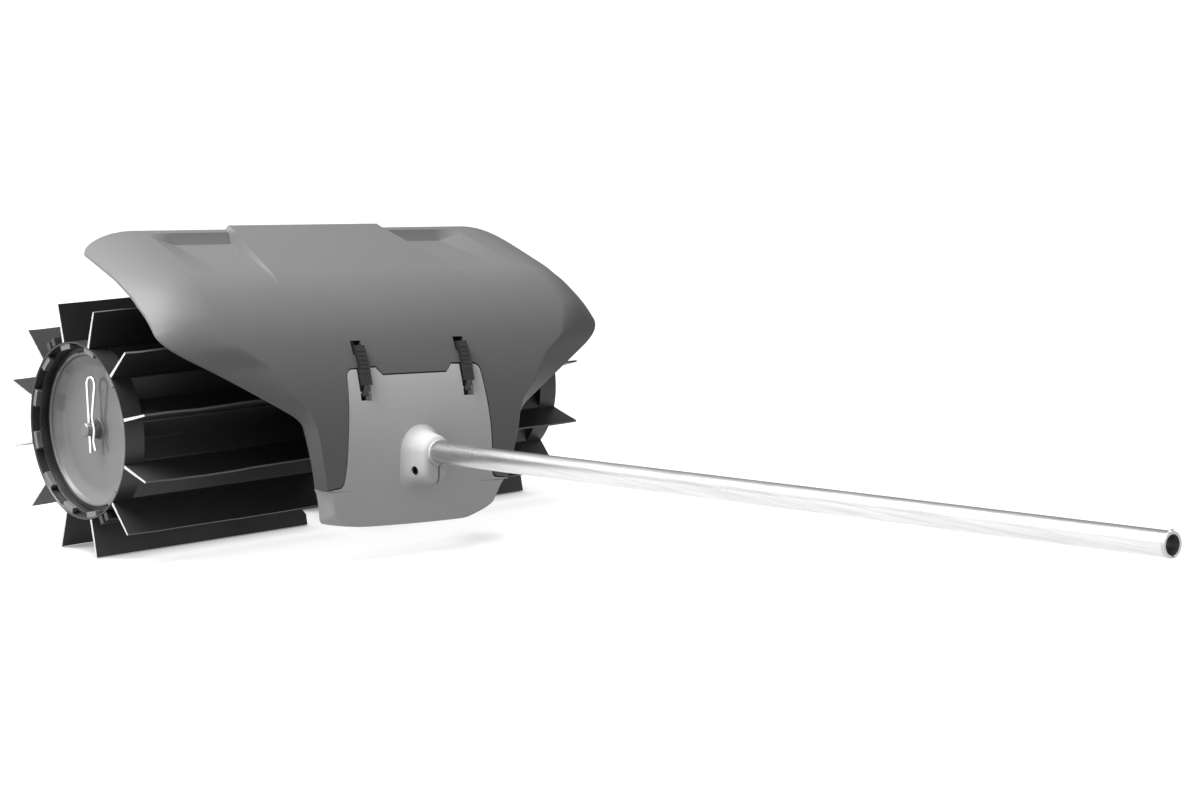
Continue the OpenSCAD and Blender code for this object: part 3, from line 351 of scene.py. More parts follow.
def softened(name, node_name, body, slot, made_of, width, angle=35):
    """A node's own shape, merged, with its edges rounded or left as they are."""
    mesh = bmesh.new()
    mesh.from_mesh(nodes[node_name].data)
    bmesh.ops.remove_doubles(mesh, verts=mesh.verts, dist=2e-6)
    bmesh.ops.dissolve_limit(mesh, angle_limit=math.radians(0.5), verts=mesh.verts, edges=mesh.edges)
    made = piece(name, mesh, made_of)
    if width:
        rounded(made, width, angle)
    else:
        smooth(made, angle)
    stands_for(made, body, slot, node_name)


# Materials


def maths(tree, operation, first, second=0.0, third=None):
    """The output of a Math node, whose inputs are sockets or numbers."""
    node = tree.nodes.new("ShaderNodeMath")
    node.operation = operation
    for slot, value in enumerate((first, second, third)):
        if value is None:
            continue
        if isinstance(value, bpy.types.NodeSocket):
            tree.links.new(value, node.inputs[slot])
        else:
            node.inputs[slot].default_value = value
    return node.outputs[0]


def speckle(tree, point, scale, detail=3.0, rough=0.55):
    """The output of a Noise node at the point."""
    node = tree.nodes.new("ShaderNodeTexNoise")
    tree.links.new(point, node.inputs["Vector"])
    node.inputs["Scale"].default_value = scale
    node.inputs["Detail"].default_value = detail
    node.inputs["Roughness"].default_value = rough
    return node.outputs["Fac"]


def stretched(tree, point, scale, turn=(0, 0, 0)):
    """The point in a stretched space, which draws noise out into streaks."""
    node = tree.nodes.new("ShaderNodeMapping")
    node.inputs["Scale"].default_value = scale
    node.inputs["Rotation"].default_value = turn
    tree.links.new(point, node.inputs["Vector"])
    return node.outputs["Vector"]


def scaled_colour(tree, colour, factor):
    """A colour made lighter or darker by a factor."""
    node = tree.nodes.new("ShaderNodeVectorMath")
    node.operation = "SCALE"
    tree.links.new(colour, node.inputs[0])
    tree.links.new(factor, node.inputs["Scale"])
    return node.outputs[0]


def surface_group():
    """Grain, cloudiness and fine scratches that every finish here shares, in its own amounts."""
    group = bpy.data.node_groups.new("worn_surface", "ShaderNodeTree")
    face = group.interface
    for name, kind, start in (
        ("Tone", "NodeSocketColor", (0.5, 0.5, 0.5, 1)),
        ("Tone spread", "NodeSocketFloat", 0.1),
        ("Roughness", "NodeSocketFloat", 0.5),
        ("Roughness spread", "NodeSocketFloat", 0.1),
        ("Grain scale", "NodeSocketFloat", 900.0),
        ("Grain depth", "NodeSocketFloat", 0.1),
        ("Scratches", "NodeSocketFloat", 0.1),
    ):
        face.new_socket(name=name, in_out="INPUT", socket_type=kind).default_value = start
    for name, kind in (
        ("Colour", "NodeSocketColor"),
        ("Roughness", "NodeSocketFloat"),
        ("Normal", "NodeSocketVector"),
    ):
        face.new_socket(name=name, in_out="OUTPUT", socket_type=kind)
    into = group.nodes.new("NodeGroupInput").outputs
    out = group.nodes.new("NodeGroupOutput")
    place = group.nodes.new("ShaderNodeTexCoord").outputs["Object"]
    cloud = speckle(group, place, 9.0, 4.0, 0.6)
    fine = speckle(group, place, 60.0, 3.0, 0.6)
    grain_node = group.nodes.new("ShaderNodeTexNoise")
    group.links.new(place, grain_node.inputs["Vector"])
    group.links.new(into["Grain scale"], grain_node.inputs["Scale"])
    grain_node.inputs["Detail"].default_value = 2.0
    drawn = stretched(group, place, (1.0, 14.0, 9.0), (0.3, 0.5, 0.2))
    hair = speckle(group, drawn, 55.0, 5.0, 0.75)
    scratch = maths(group, "MULTIPLY", maths(group, "GREATER_THAN", hair, 0.66), into["Scratches"])
    mixed = maths(group, "MULTIPLY_ADD", cloud, 0.65, maths(group, "MULTIPLY", fine, 0.35))
    swing = maths(group, "SUBTRACT", mixed, 0.5)
    tone = maths(group, "MULTIPLY_ADD", swing, into["Tone spread"], 1.0)
    tone = maths(group, "MULTIPLY_ADD", scratch, 0.35, tone)
    rough = maths(group, "MULTIPLY_ADD", swing, into["Roughness spread"], into["Roughness"])
    rough = maths(group, "MULTIPLY_ADD", scratch, 0.2, rough)
    height = maths(group, "MULTIPLY_ADD", scratch, -0.4, grain_node.outputs["Fac"])
    bump = group.nodes.new("ShaderNodeBump")
    bump.inputs["Distance"].default_value = 0.0004
    group.links.new(into["Grain depth"], bump.inputs["Strength"])
    group.links.new(height, bump.inputs["Height"])
    group.links.new(scaled_colour(group, into["Tone"], tone), out.inputs["Colour"])
    group.links.new(rough, out.inputs["Roughness"])
    group.links.new(bump.outputs["Normal"], out.inputs["Normal"])
    return group


WORN = surface_group()


def finish(name, tone, roughness, metal=0.0, spread=0.12, rough_spread=0.12, grain=900.0, depth=0.1,
           scratches=0.1, shine=0.5):
    """A finish of one tone, with the shared grain and wear in its own amounts."""
    made = bpy.data.materials.new(name)
    made.use_nodes = True
    tree = made.node_tree
    shader = tree.nodes["Principled BSDF"]
    wear = tree.nodes.new("ShaderNodeGroup")
    wear.name = "wear"
    wear.node_tree = WORN
    for socket, value in (
        ("Tone", (tone, tone, tone, 1) if isinstance(tone, float) else (*tone, 1)),
        ("Tone spread", spread),
        ("Roughness", roughness),
        ("Roughness spread", rough_spread),
        ("Grain scale", grain),
        ("Grain depth", depth),
        ("Scratches", scratches),
    ):
        wear.inputs[socket].default_value = value
    tree.links.new(wear.outputs["Colour"], shader.inputs["Base Color"])
    tree.links.new(wear.outputs["Roughness"], shader.inputs["Roughness"])
    tree.links.new(wear.outputs["Normal"], shader.inputs["Normal"])
    shader.inputs["Metallic"].default_value = metal
    shader.inputs["Specular IOR Level"].default_value = shine
    return made


def drawn_tube():
    """Aluminium with the fine streaks that drawing leaves along it."""
    made = finish("tube_aluminium", 0.8, 0.28, 1.0, spread=0.05, rough_spread=0.1, grain=500.0,
                  depth=0.02, scratches=0.0)
    tree = made.node_tree
    place = tree.nodes.new("ShaderNodeTexCoord").outputs["Object"]
    streak = speckle(tree, stretched(tree, place, (260.0, 3.0, 260.0)), 1.0, 4.0, 0.7)
    shade = maths(tree, "MULTIPLY_ADD", streak, 0.6, 0.5)
    colour = scaled_colour(tree, tree.nodes["wear"].outputs["Colour"], shade)
    tree.links.new(colour, tree.nodes["Principled BSDF"].inputs["Base Color"])
    return made


def pale_floor():
    """Studio paper that glows evenly, with a painted contact shadow: its glow is dimmed by ambient occlusion
    close to what stands on it.
    """
    made = finish("studio_paper", 0.15, 0.8, spread=0.01, rough_spread=0.02, grain=300.0, depth=0.01,
                  scratches=0.0, shine=0.0)
    tree = made.node_tree
    painted_contact_shadow = tree.nodes.new("ShaderNodeAmbientOcclusion")
    painted_contact_shadow.samples = 16
    painted_contact_shadow.inputs["Distance"].default_value = 0.045
    shader = tree.nodes["Principled BSDF"]
    # Painted contact shadow: the glow's colour follows the ambient occlusion, so it darkens near what stands
    # on the floor.
    tree.links.new(maths(tree, "POWER", painted_contact_shadow.outputs["AO"], 1.4), shader.inputs["Emission Color"])
    shader.inputs["Emission Strength"].default_value = 0.96
    return made


HOOD_PLASTIC = finish("hood_plastic", 0.095, 0.45, depth=0.12, shine=0.15)
PLATE_PLASTIC = finish("plate_plastic", 0.36, 0.55, depth=0.12, shine=0.1)
LATCH_PLASTIC = finish("latch_plastic", 0.012, 0.26)
DRUM_PLASTIC = finish("drum_plastic", 0.012, 0.42)
CAP_PLASTIC = finish("cap_plastic", 0.075, 0.38, spread=0.25)
BUSH_PLASTIC = finish("bush_plastic", 0.03, 0.5)
RUBBER = finish("flap_rubber", 0.013, 0.45, spread=0.3, rough_spread=0.25, grain=350.0, depth=0.2)
CUT_END = finish("flap_cut_end", 0.3, 0.7, spread=0.5)
# The flaps' tips: a lighter tone that is a painted highlight.
TIP_HIGHLIGHT = finish("flap_tip_painted_highlight", 0.07, 0.6, spread=0.5)
SEAL_RUBBER = finish("seal_rubber", 0.015, 0.6)
CASTING = finish("cast_aluminium", 0.5, 0.45, 1.0, 0.2, 0.2, 500.0, 0.35)
TURNED_STEEL = finish("turned_steel", 0.6, 0.28, 1.0)
GROUND_STEEL = finish("ground_steel", 0.7, 0.2, 1.0)
PLATED_STEEL = finish("plated_screws", 0.4, 0.35, 1.0)
AXLE_STEEL = finish("axle_steel", 0.2, 0.5, 1.0)
RING_STEEL = finish("ring_steel", 0.5, 0.4, 1.0)
BLACK_SCREW = finish("black_screw", 0.02, 0.4, 1.0)
CLIP_WIRE = finish("clip_wire", 0.85, 0.14, 1.0)
BRONZE = finish("wheel_bronze", (0.55, 0.36, 0.15), 0.3, 1.0)


def dress(made_of, *node_names):
    """Gives CAD nodes that stay in view their finish."""
    for node_name in node_names:
        mesh = nodes[node_name].data
        mesh.materials.clear()
        mesh.materials.append(made_of)


# Hood


FRONT, BACK = -300, -100
SEAM, LIP, LIP_NEAR, LIP_FAR = 1.7, 4.0, 5.5, 7.2
LATCH_X, LATCH_W, LATCH_ROOM = 70.7, 12.6, 1
SLOT_LOW, SLOT_HIGH, SLOT_BACK = 83, 97.5, -150
WINDOW_LOW, WINDOW_HIGH = 34.8, 72


def across(s, inset):
    """Stations from one rim of the hood to the other, closer together where the form turns."""
    b, o, c, w = band(s) - inset, panel_side(s), lookup(s, CREASE), rim(s)
    half = steps([(0, 0), (b - 4, 8), (b - 0.6, 2), (b + 0.6, 2), (b + 2.4, 2), (b + 3.6, 2), (b + 7, 2),
                  (o - 34, 6), (o - 26, 3), (o - 4, 6), (o + 4, 4), (c, 2), (c + 0.06 * (w - c), 2), (w, 12)])
    return [-x for x in reversed(half[1:])] + half


def along_hood(inset):
    """Stations along the hood, closer together at the rear wall of the panels."""
    step = PANEL_END + inset
    return steps([(0, 0), (60, 16), (120, 20), (200, 22), (PANEL_START, 8),
                  (step - REAR_SLOPE - 1, 30), (step - REAR_SLOPE + 1, 2), (step - 1, 3), (step + 1, 2),
                  (HOOD_LEN - 1.2, 3), (HOOD_LEN, 2)])


def hood_skin(mesh, inset, depth):
    """One side of the hood's wall, as a grid."""
    rows = along_hood(inset)
    columns = len(across(0, inset))
    grid = bmesh.ops.create_grid(mesh, x_segments=columns - 1, y_segments=len(rows) - 1, size=1)
    for vert in grid["verts"]:
        i = round((vert.co.x + 1) / 2 * (columns - 1))
        s = rows[round((vert.co.y + 1) / 2 * (len(rows) - 1))]
        x = across(s, inset)[i]
        y, z, ny, nz = profile(s)
        down = sink(abs(x), s, inset) + depth
        vert.co = (x, y - ny * down, z - nz * down)


def hood_sheet():
    """The hood's wall: its outer and inner skins, closed along the rim."""
    mesh = bmesh.new()
    hood_skin(mesh, 0.0, 0.0)
    hood_skin(mesh, HOOD_STEP_T, HOOD_T)
    bmesh.ops.bridge_loops(mesh, edges=[e for e in mesh.edges if e.is_boundary])
    bmesh.ops.recalc_face_normals(mesh, faces=mesh.faces)
    return mesh


def plate_edge(grow):
    """Half of the front plate's outline in X and Z, grown outwards."""
    half = [(44 + grow * 0.4, 60.6 + grow), (52.5 - grow * 0.4, 69 + grow), (82.5, 68 + grow)]
    half += arc(83.5, 60, 8 + grow, range(80, 9, -10))
    half += [(97.5 + grow, 5), (101 + grow, -45), (102.5 + grow, -54.5 + grow), (106 + grow, -58.5 + grow),
             (124 + grow, -61.5 + grow), (124 + grow, -84)]
    return half + arc(102, -84, 22 + grow, range(-8, -86, -7))


def plate_outline(grow):
    """The whole outline of the front plate, grown outwards."""
    return mirrored(plate_edge(grow), [(0, -108 - grow)])


def face_at(z, depth=0.0):
    """Y of the face at a height, that far behind the outer surface."""
    return FACE_Y - math.sqrt((FACE_R - depth) ** 2 - (z - FACE_Z) ** 2)


def face_band(near, far, low, high, half_width):
    """A curved slab of the face between two depths."""
    start = math.asin((low - FACE_Z) / FACE_R)
    turn = start - math.asin((high - FACE_Z) / FACE_R)
    mesh = bmesh.new()
    ends = []
    for depth in (near, far):
        r = FACE_R - depth
        ends.append(mesh.verts.new((-half_width, FACE_Y - r * math.cos(start), FACE_Z + r * math.sin(start))))
    edge = mesh.edges.new(ends)
    bmesh.ops.spin(mesh, geom=[edge, *ends], cent=(0, FACE_Y, FACE_Z), axis=(1, 0, 0), angle=turn,
                   steps=40, use_merge=False)
    return thickened(mesh, (2 * half_width, 0, 0))


def at_latches(how, room, low, high, back=BACK):
    """Blocks through the face at both latches, with room beside them."""
    half = LATCH_W / 2 + room
    middles = [side * LATCH_X for side in SIDES]
    return [(how, block((x - half, FRONT, low), (x + half, back, high))) for x in middles]


def seam_lip(near, far, inner):
    """A wall of the hood's rebate behind the seam, open where the latches pass."""
    return carved(face_band(near, far, -68, 78, 117), ("INTERSECT", prism(plate_outline(5), FRONT, BACK)),
                  ("DIFFERENCE", prism(plate_outline(inner), FRONT - 10, BACK + 10)),
                  *at_latches("DIFFERENCE", LATCH_W / 2, 30, 90))


def hood():
    """The hood with its latch slots and the rebate that the front plate sits in."""
    shell = carved(hood_sheet(), ("DIFFERENCE", prism(plate_outline(SEAM), FRONT, BACK)),
                   *at_latches("DIFFERENCE", LATCH_ROOM, SLOT_LOW, SLOT_HIGH, SLOT_BACK))
    mesh = joined(shell, seam_lip(LIP_NEAR, LIP_FAR, -LIP), seam_lip(HOOD_T - 0.4, LIP_FAR, SEAM + 0.2))
    made = piece("guard_shell", placed(mesh, GUARD), HOOD_PLASTIC)
    rounded(made, 0.6, 38)
    stands_for(made, "guard_and_tube", "hood_plastic", "guard_hood")


# Front plate with its boss. The boss is drawn in a frame along the tube.


BOSS_BACK, BOSS_FRONT = -222.5, -254.5
BOSS_HALF, BOSS_DROP, FLARE, FLARE_END = 24.5, 38, 5.0, 0.34
BOSS_TAPER, DROP_TAPER, NOSE_START, NOSE_IN, NOSE_UP = 6.5, 4, 0.86, 4.5, 6.0
BOSS_FACE_Y, BOSS_FACE_Z = 36.99, 6.65  # the centre of the plate's curve, in the boss's frame
CLAMP_Y, CLAMP_Z = BOSS_BACK - 15, -19.5
BORE_R, SPIGOT_R, COLLAR_R, SLIT = 12.05, 16.5, 14.6, 2.4
HEAD_POCKET_R, SHANK_HOLE_R, NUT_POCKET_R = 4.7, 2.55, 4.8
HEAD_R, HEX_R, SHANK_R = 4.3, 2.9, 2.4
PLATE_T, CHEEK_T = 3.0, 2
CORNER_Z, CORNER_BEND = -86, 45
SKIRT_TOP, SKIRT_FOOT, SKIRT_DEEP = -61.5, -103.0, 28.0
SKIRT_W = [(-106, 105.5), (-101, 106.5), (-80, 113.4), (-68, 117.8), (SKIRT_TOP, 122)]


def boss_body():
    """The clamp boss: round over the tube, straight to its foot, and flared into the plate."""
    around, levels = 72, 22
    mesh = bmesh.new()
    grid = bmesh.ops.create_grid(mesh, x_segments=around, y_segments=levels, size=1)
    for vert in grid["verts"]:
        i = round((vert.co.x + 1) / 2 * around) % around
        t = round((vert.co.y + 1) / 2 * levels) / levels
        deep = t ** 1.6
        nose = 1 - math.sqrt(1 - ramp(t, NOSE_START, 1) ** 2)
        flare = FLARE * (1 - ramp(deep, 0, FLARE_END)) ** 2.4
        half = BOSS_HALF - BOSS_TAPER * deep - NOSE_IN * nose + flare
        foot = BOSS_DROP - DROP_TAPER * deep - NOSE_UP * nose + flare
        a = 2 * math.pi * (i + 0.5) / around
        way_x, way_z = math.sin(a), math.cos(a)
        if way_z >= 0:
            x, z = half * way_x, half * way_z
        else:
            power = 0.42 + 0.3 * deep
            x = half * math.copysign(abs(way_x) ** power, way_x)
            z = -foot * abs(way_z) ** power
        surface = BOSS_FACE_Y - math.sqrt(FACE_R ** 2 - (z - BOSS_FACE_Z) ** 2) + 0.35
        vert.co = (x, surface + (BOSS_FRONT - surface) * deep, z)
    bmesh.ops.remove_doubles(mesh, verts=mesh.verts, dist=0.001)
    bmesh.ops.holes_fill(mesh, edges=[e for e in mesh.edges if e.is_boundary])
    bmesh.ops.recalc_face_normals(mesh, faces=mesh.faces)
    return mesh


def plate_skin(mesh, inset):
    """One side of the plate: flat across above the skirt, and turned back round its corners below."""
    faces, bends, walls = 14, 10, 4
    rows = steps([(SKIRT_FOOT, 0), (-84, 14), (SKIRT_TOP - 0.6, 12), (SKIRT_TOP, 1), (74, 60)])
    columns = faces + bends + walls
    grid = bmesh.ops.create_grid(mesh, x_segments=2 * columns, y_segments=len(rows) - 1, size=1)
    for vert in grid["verts"]:
        i = round(vert.co.x * columns)
        z = rows[round((vert.co.y + 1) / 2 * (len(rows) - 1))]
        if z >= SKIRT_TOP:
            x, depth = 126 * abs(i) / columns, inset
        else:
            bend = PLATE_T + CORNER_BEND * (1 - ramp(z, -104, CORNER_Z)) ** 1.7
            width, curve = lookup(z, SKIRT_W) - inset, max(0.4, bend - inset)
            last = math.acos(max(0.0, 1 - (SKIRT_DEEP - 0.4) / bend)) if bend > PLATE_T else math.pi / 2
            if abs(i) <= faces:
                x, depth = (width - curve) * abs(i) / faces, inset
            else:
                a = last * min(1.0, (abs(i) - faces) / bends)
                x, depth = width - curve + curve * math.sin(a), bend - curve * math.cos(a)
                depth += (SKIRT_DEEP - depth) * max(0.0, (abs(i) - faces - bends) / walls)
            z -= 2.2 * (1 - (x / 110) ** 2) * ramp(z, -84, SKIRT_FOOT)
        vert.co = (math.copysign(x, i), face_at(z, depth), z)


def plate_sheet():
    """The plate's wall: its outer and inner skins, closed along the rim."""
    mesh = bmesh.new()
    plate_skin(mesh, 0.0)
    plate_skin(mesh, PLATE_T)
    bmesh.ops.bridge_loops(mesh, edges=[e for e in mesh.edges if e.is_boundary])
    bmesh.ops.remove_doubles(mesh, verts=mesh.verts, dist=0.0005)
    bmesh.ops.recalc_face_normals(mesh, faces=mesh.faces)
    return mesh


def hinge_cheek(side, edge):
    """A wall beside a latch's window, which holds an end of its pin."""
    x = side * LATCH_X + edge * (LATCH_W / 2 + LATCH_ROOM + CHEEK_T / 2)
    wall = block((x - CHEEK_T / 2, FRONT, 20), (x + CHEEK_T / 2, BACK, 60))
    return carved(face_band(PLATE_T - 0.5, 11, WINDOW_LOW - 3, 51.8, 140), ("INTERSECT", wall))


def along_clamp(radius, start, end, sides):
    """A bar on the clamp screw's line."""
    return rod(radius, (start, CLAMP_Y, CLAMP_Z), (end, CLAMP_Y, CLAMP_Z), sides)


def along_tube(radius, start, end, sides):
    """A bar on the tube's line."""
    return rod(radius, (0, start, 0), (0, end, 0), sides)


def front_plate():
    """The plate with its latch windows, and the boss with its bore, slit and screw holes."""
    half = [(x, z) for x, z in plate_edge(0) if z > SKIRT_TOP + 0.5] + [(130, SKIRT_TOP + 0.1), (130, -115)]
    body = carved(plate_sheet(), ("INTERSECT", prism(mirrored(half), FRONT, BACK)))
    cheeks = [("UNION", hinge_cheek(side, edge)) for side in SIDES for edge in SIDES]
    body = carved(body, *at_latches("DIFFERENCE", LATCH_ROOM, WINDOW_LOW, WINDOW_HIGH), *cheeks)
    body = carved(
        placed(body, BOSS.inverted() @ GUARD),
        ("UNION", boss_body()),
        ("UNION", along_tube(SPIGOT_R, BOSS_BACK - 0.5, BOSS_BACK + 24, 64)),
        ("UNION", along_tube(COLLAR_R, BOSS_FRONT + 0.5, BOSS_FRONT - 2, 64)),
        ("DIFFERENCE", along_tube(BORE_R, FRONT, BACK - 50, 96)),
        ("DIFFERENCE", block((-SLIT / 2, FRONT, -60), (SLIT / 2, BOSS_BACK - 4, 0))),
        ("DIFFERENCE", along_clamp(HEAD_POCKET_R, -40, -12, 40)),
        ("DIFFERENCE", along_clamp(SHANK_HOLE_R, -13, 13, 32)),
        ("DIFFERENCE", along_clamp(NUT_POCKET_R, 12, 40, 6)),
    )
    made = piece("front_plate_shell", placed(body, BOSS), PLATE_PLASTIC)
    rounded(made, 0.7, 38)
    stands_for(made, "guard_and_tube", "plate_plastic", "front_plate")


def clamp_screw():
    """The cap screw that closes the boss on the tube."""
    head = along_clamp(HEAD_R, -20.2, -12.1, 40)
    recess = along_clamp(HEX_R, -22, -17, 6)
    shank = along_clamp(SHANK_R, -12.2, 12.4, 32)
    screw = carved(head, ("DIFFERENCE", recess), ("UNION", shank))
    made = piece("clamp_cap_screw", placed(screw, BOSS), BLACK_SCREW)
    rounded(made, 0.25, 40)
    stands_for(made, "guard_and_tube", "screw_steel", "clamp_screw")


# Hook latches, drawn closed. Depths are behind the face, so those above it are negative.


PIN_Z, PIN_DEPTH, PIN_R, EYE_R = 43.0, 3.2, 1.65, 3.6
STRAP_TOP, STRAP_FOOT, STRAP_OUT, STRAP_IN = 91.0, 50.5, -5.6, -1.6
ARM_INSET, ARM_FRONT_Z, ARM_BACK_Z = 2.6, 52, 56
RIBS, RIB_R, RIB_FOOT, RIB_STEP = 6, 1.6, 66.5, 4.4


def hook_latch(side):
    """The lever that holds the hood: ribbed thumb face, arm to the pin and hooked nose."""
    low, high = side * LATCH_X - LATCH_W / 2, side * LATCH_X + LATCH_W / 2
    pin_y = face_at(PIN_Z, PIN_DEPTH)

    def bar(radius, start, end, y, z, sides):
        return rod(radius, (start, y, z), (end, y, z), sides)

    strap = carved(face_band(STRAP_OUT, STRAP_IN, STRAP_FOOT, STRAP_TOP, 140),
                   ("INTERSECT", block((low, FRONT, 30), (high, BACK, 99))))
    arm_side = [(pin_y - 3, PIN_Z - 2), (face_at(ARM_FRONT_Z, -4.0), ARM_FRONT_Z),
                (face_at(ARM_BACK_Z, STRAP_IN), ARM_BACK_Z), (pin_y + 3, PIN_Z + 2)]
    arm = plank(arm_side, low + ARM_INSET, high - ARM_INSET)
    nose = placed(arc_block(44, 48, low, high, 67, 20), Matrix.Translation((0, pin_y, PIN_Z)))
    eye = bar(EYE_R, low + ARM_INSET, high - ARM_INSET, pin_y, PIN_Z, 32)
    rib_heights = [RIB_FOOT + RIB_STEP * k for k in range(RIBS)]
    ribs = [("UNION", bar(RIB_R, low, high, face_at(z, STRAP_OUT + 0.3), z, 16)) for z in rib_heights]
    pin_hole = bar(PIN_R, low - 1, high + 1, pin_y, PIN_Z, 32)
    lever = carved(strap, ("UNION", arm), ("UNION", nose), ("UNION", eye), *ribs, ("DIFFERENCE", pin_hole))
    body = f"latch_{side_name(side)}"
    made = piece(f"hook_{body}", placed(lever, GUARD), LATCH_PLASTIC)
    rounded(made, 0.3, 40)
    stands_for(made, body, "latch_plastic", body)


# Drums: rubber flaps, end rings and caps, each in a drum's own frame


DRUM_IN, HALF_W = 27.5, 300.0
SHELL_IN, SHELL_OUT = 30.5, 276.0
BODY_R, TIP_R = 97.5, 140.0
BEAD_PLACE_R, BEAD_R = 88.0, 3.2
FLAPS, STEP = 12, 30.0
FLAP_T, TIP_THINNING, TONGUE, TONGUE_RISE = 3.6, 1.4, 8.5, (0.5, 0.667)
POCKET_WIDTH, TAB_WIDTH = 16.8, 12.0
RING_PROFILE = [(75.7, 262), (78.7, 262), (78.7, 276), (97.5, 276), (97.5, 300), (96.1, 300), (91.5, 290),
                (91.5, 279), (80.6, 279), (75.7, 275.5)]
CAP_BACK = [(7.55, 260.5), (12.5, 260.5), (12.5, 271), (67, 271), (79.6, 279), (91.2, 279), (91.2, 281.0),
            (90.7, 281.5)]
CAP_BEAD = arc(83.7, 281.5, 2.4, range(0, 181, 15))
CAP_DISH = [(80.6, 280.6), (79.4, 279.8), (72.0, 275.2), (70.2, 274.3), (68.2, 273.75), (65.6, 273.5),
            (40, 273.5), (13.6, 273.5)]
CAP_BOSS = [(12.0, 273.8), (11.1, 274.7), (10.8, 276.0), (10.7, 281.3), (10.2, 281.9), (7.55, 281.9)]
CAP_RIM_R = 86.2


def cut_lengthwise(sheet, axis, cuts):
    """Cuts the sheet's edges along one axis into equal parts."""
    edges = [e for e in sheet.edges if abs(e.verts[0].co[axis] - e.verts[1].co[axis]) > 0.5]
    bmesh.ops.subdivide_edges(sheet, edges=edges, cuts=cuts, use_grid_fill=True)


def flap(number, seed):
    """One rubber sheet with its bead: thinner and a little wavy towards the tip."""
    sheet = bmesh.new()
    bmesh.ops.create_cube(sheet, size=1)
    cut_lengthwise(sheet, 0, 35)
    cut_lengthwise(sheet, 1, 6)
    lean = 1.2 * noise.noise(Vector((seed * 3.7, 1.3, 0)))
    for vert in sheet.verts:
        x, out = vert.co.x + 0.5, vert.co.y + 0.5
        wave = 2.2 * noise.noise(Vector((x * 3.1, seed * 1.7, 0)))
        wave += 0.7 * noise.noise(Vector((x * 9.0, seed * 2.9, 5)))
        bow = (wave + lean) * out * out
        tongue = TONGUE * ramp(out, *TONGUE_RISE) if x < 0.01 else 0.0
        vert.co = (DRUM_IN + x * (HALF_W - DRUM_IN) - tongue, BODY_R + 0.3 + out * (TIP_R - BODY_R - 0.3),
                   vert.co.z * (FLAP_T - TIP_THINNING * out) + bow)
    sheet.normal_update()
    # Cut ends take their own finish; the outer tip faces take the lighter one, a painted highlight.
    for face in sheet.faces:
        if abs(face.normal.x) > 0.9:
            face.material_index = 1
        elif face.normal.y > 0.9:
            face.material_index = 2
    low, high = SHELL_IN + 0.3, SHELL_OUT - 0.3
    bead = rod(BEAD_R, (low, BEAD_PLACE_R, 0), (high, BEAD_PLACE_R, 0), 16)
    neck = block((low, BEAD_PLACE_R, -2), (high, BODY_R + 1, 2))
    return placed(joined(sheet, bead, neck), Matrix.Rotation(math.radians(STEP / 2 + number * STEP), 4, "X"))


def flap_set(side):
    """A drum's flaps, their cut ends in their own finish and their tips in a lighter one that is a painted
    highlight.
    """
    seeds = [i + 20 * side + 31.5 for i in range(FLAPS)]
    mesh = placed(joined(*[flap(i, seed) for i, seed in enumerate(seeds)]), drum(side))
    made = piece(f"rubber_flaps_{side_name(side)}", mesh, RUBBER, CUT_END, TIP_HIGHLIGHT)
    smooth(made)
    stands_for(made, "rotor", "flap_rubber", f"flaps_{side_name(side)}")


def end_ring(side):
    """The black end ring with its pockets, and the grey tabs that hook over it at each flap."""
    name = side_name(side)
    middles = [STEP * (i + 1) for i in range(FLAPS)]
    pockets = joined(*[arc_block(89.0, 95.9, 291.0, 298.8, middle, POCKET_WIDTH) for middle in middles])
    ring = carved(turned_ring(RING_PROFILE), ("DIFFERENCE", pockets))
    made = piece(f"drum_end_ring_{name}", placed(ring, drum(side)), DRUM_PLASTIC)
    rounded(made, 0.5, 32)
    stands_for(made, "rotor", "cap_plastic", f"end_ring_{name}")
    tabs = joined(*[arc_block(89.6, 97.3, 291.5, 298.6, middle - STEP / 2, TAB_WIDTH) for middle in middles])
    hooks = piece(f"end_ring_tabs_{name}", placed(tabs, drum(side)), CAP_PLASTIC)
    rounded(hooks, 0.6, 32)
    stands_for(hooks, "rotor", "cap_plastic")


def end_cap(side):
    """The dished cap with its bead and axle boss; its faces outside the bead are given the drum's black
    plastic.
    """
    disc = turned_ring(CAP_BACK + CAP_BEAD + CAP_DISH + CAP_BOSS, 144)
    made = piece(f"drum_cap_{side_name(side)}", placed(disc, drum(side)), CAP_PLASTIC, DRUM_PLASTIC)
    to_drum = drum(side).inverted()
    for face in made.data.polygons:
        centre = to_drum @ face.center
        if math.hypot(centre.y, centre.z) > CAP_RIM_R:
            face.material_index = 1
    smooth(made, 40)
    stands_for(made, "rotor", "cap_plastic", f"end_cap_{side_name(side)}")


# Camera, floor and light


CAMERA_AT = (-2.10617, -1.68711, 0.58268)
TURN, DIP, ROLL = 0.713902805, 0.17288023, 0.01184762
FOCAL_LENGTH_PX, PHOTO_WIDTH_PX = 3186.63, 1200
BRIGHT_WAY, BRIGHT_SHARE, EVEN_SHARE = (-0.85, -0.35, 0.25), 0.55, 0.6
BACKDROP = 1.1


def place_camera():
    """The camera that the photograph's straight lines and circles give."""
    ahead = Vector((math.sin(TURN) * math.cos(DIP), math.cos(TURN) * math.cos(DIP), -math.sin(DIP)))
    right = Vector((math.cos(TURN), -math.sin(TURN), 0))
    level = Matrix((right, right.cross(ahead), -ahead)).transposed()
    lens = bpy.data.cameras.new("view")
    lens.sensor_width = 36
    lens.lens = lens.sensor_width * FOCAL_LENGTH_PX / PHOTO_WIDTH_PX
    lens.clip_start = 0.05
    lens.clip_end = 60
    camera = bpy.data.objects.new("view", lens)
    bpy.context.scene.collection.objects.link(camera)
    camera.matrix_world = Matrix.Translation(CAMERA_AT) @ level.to_4x4() @ Matrix.Rotation(ROLL, 4, "Z")
    bpy.context.scene.camera = camera


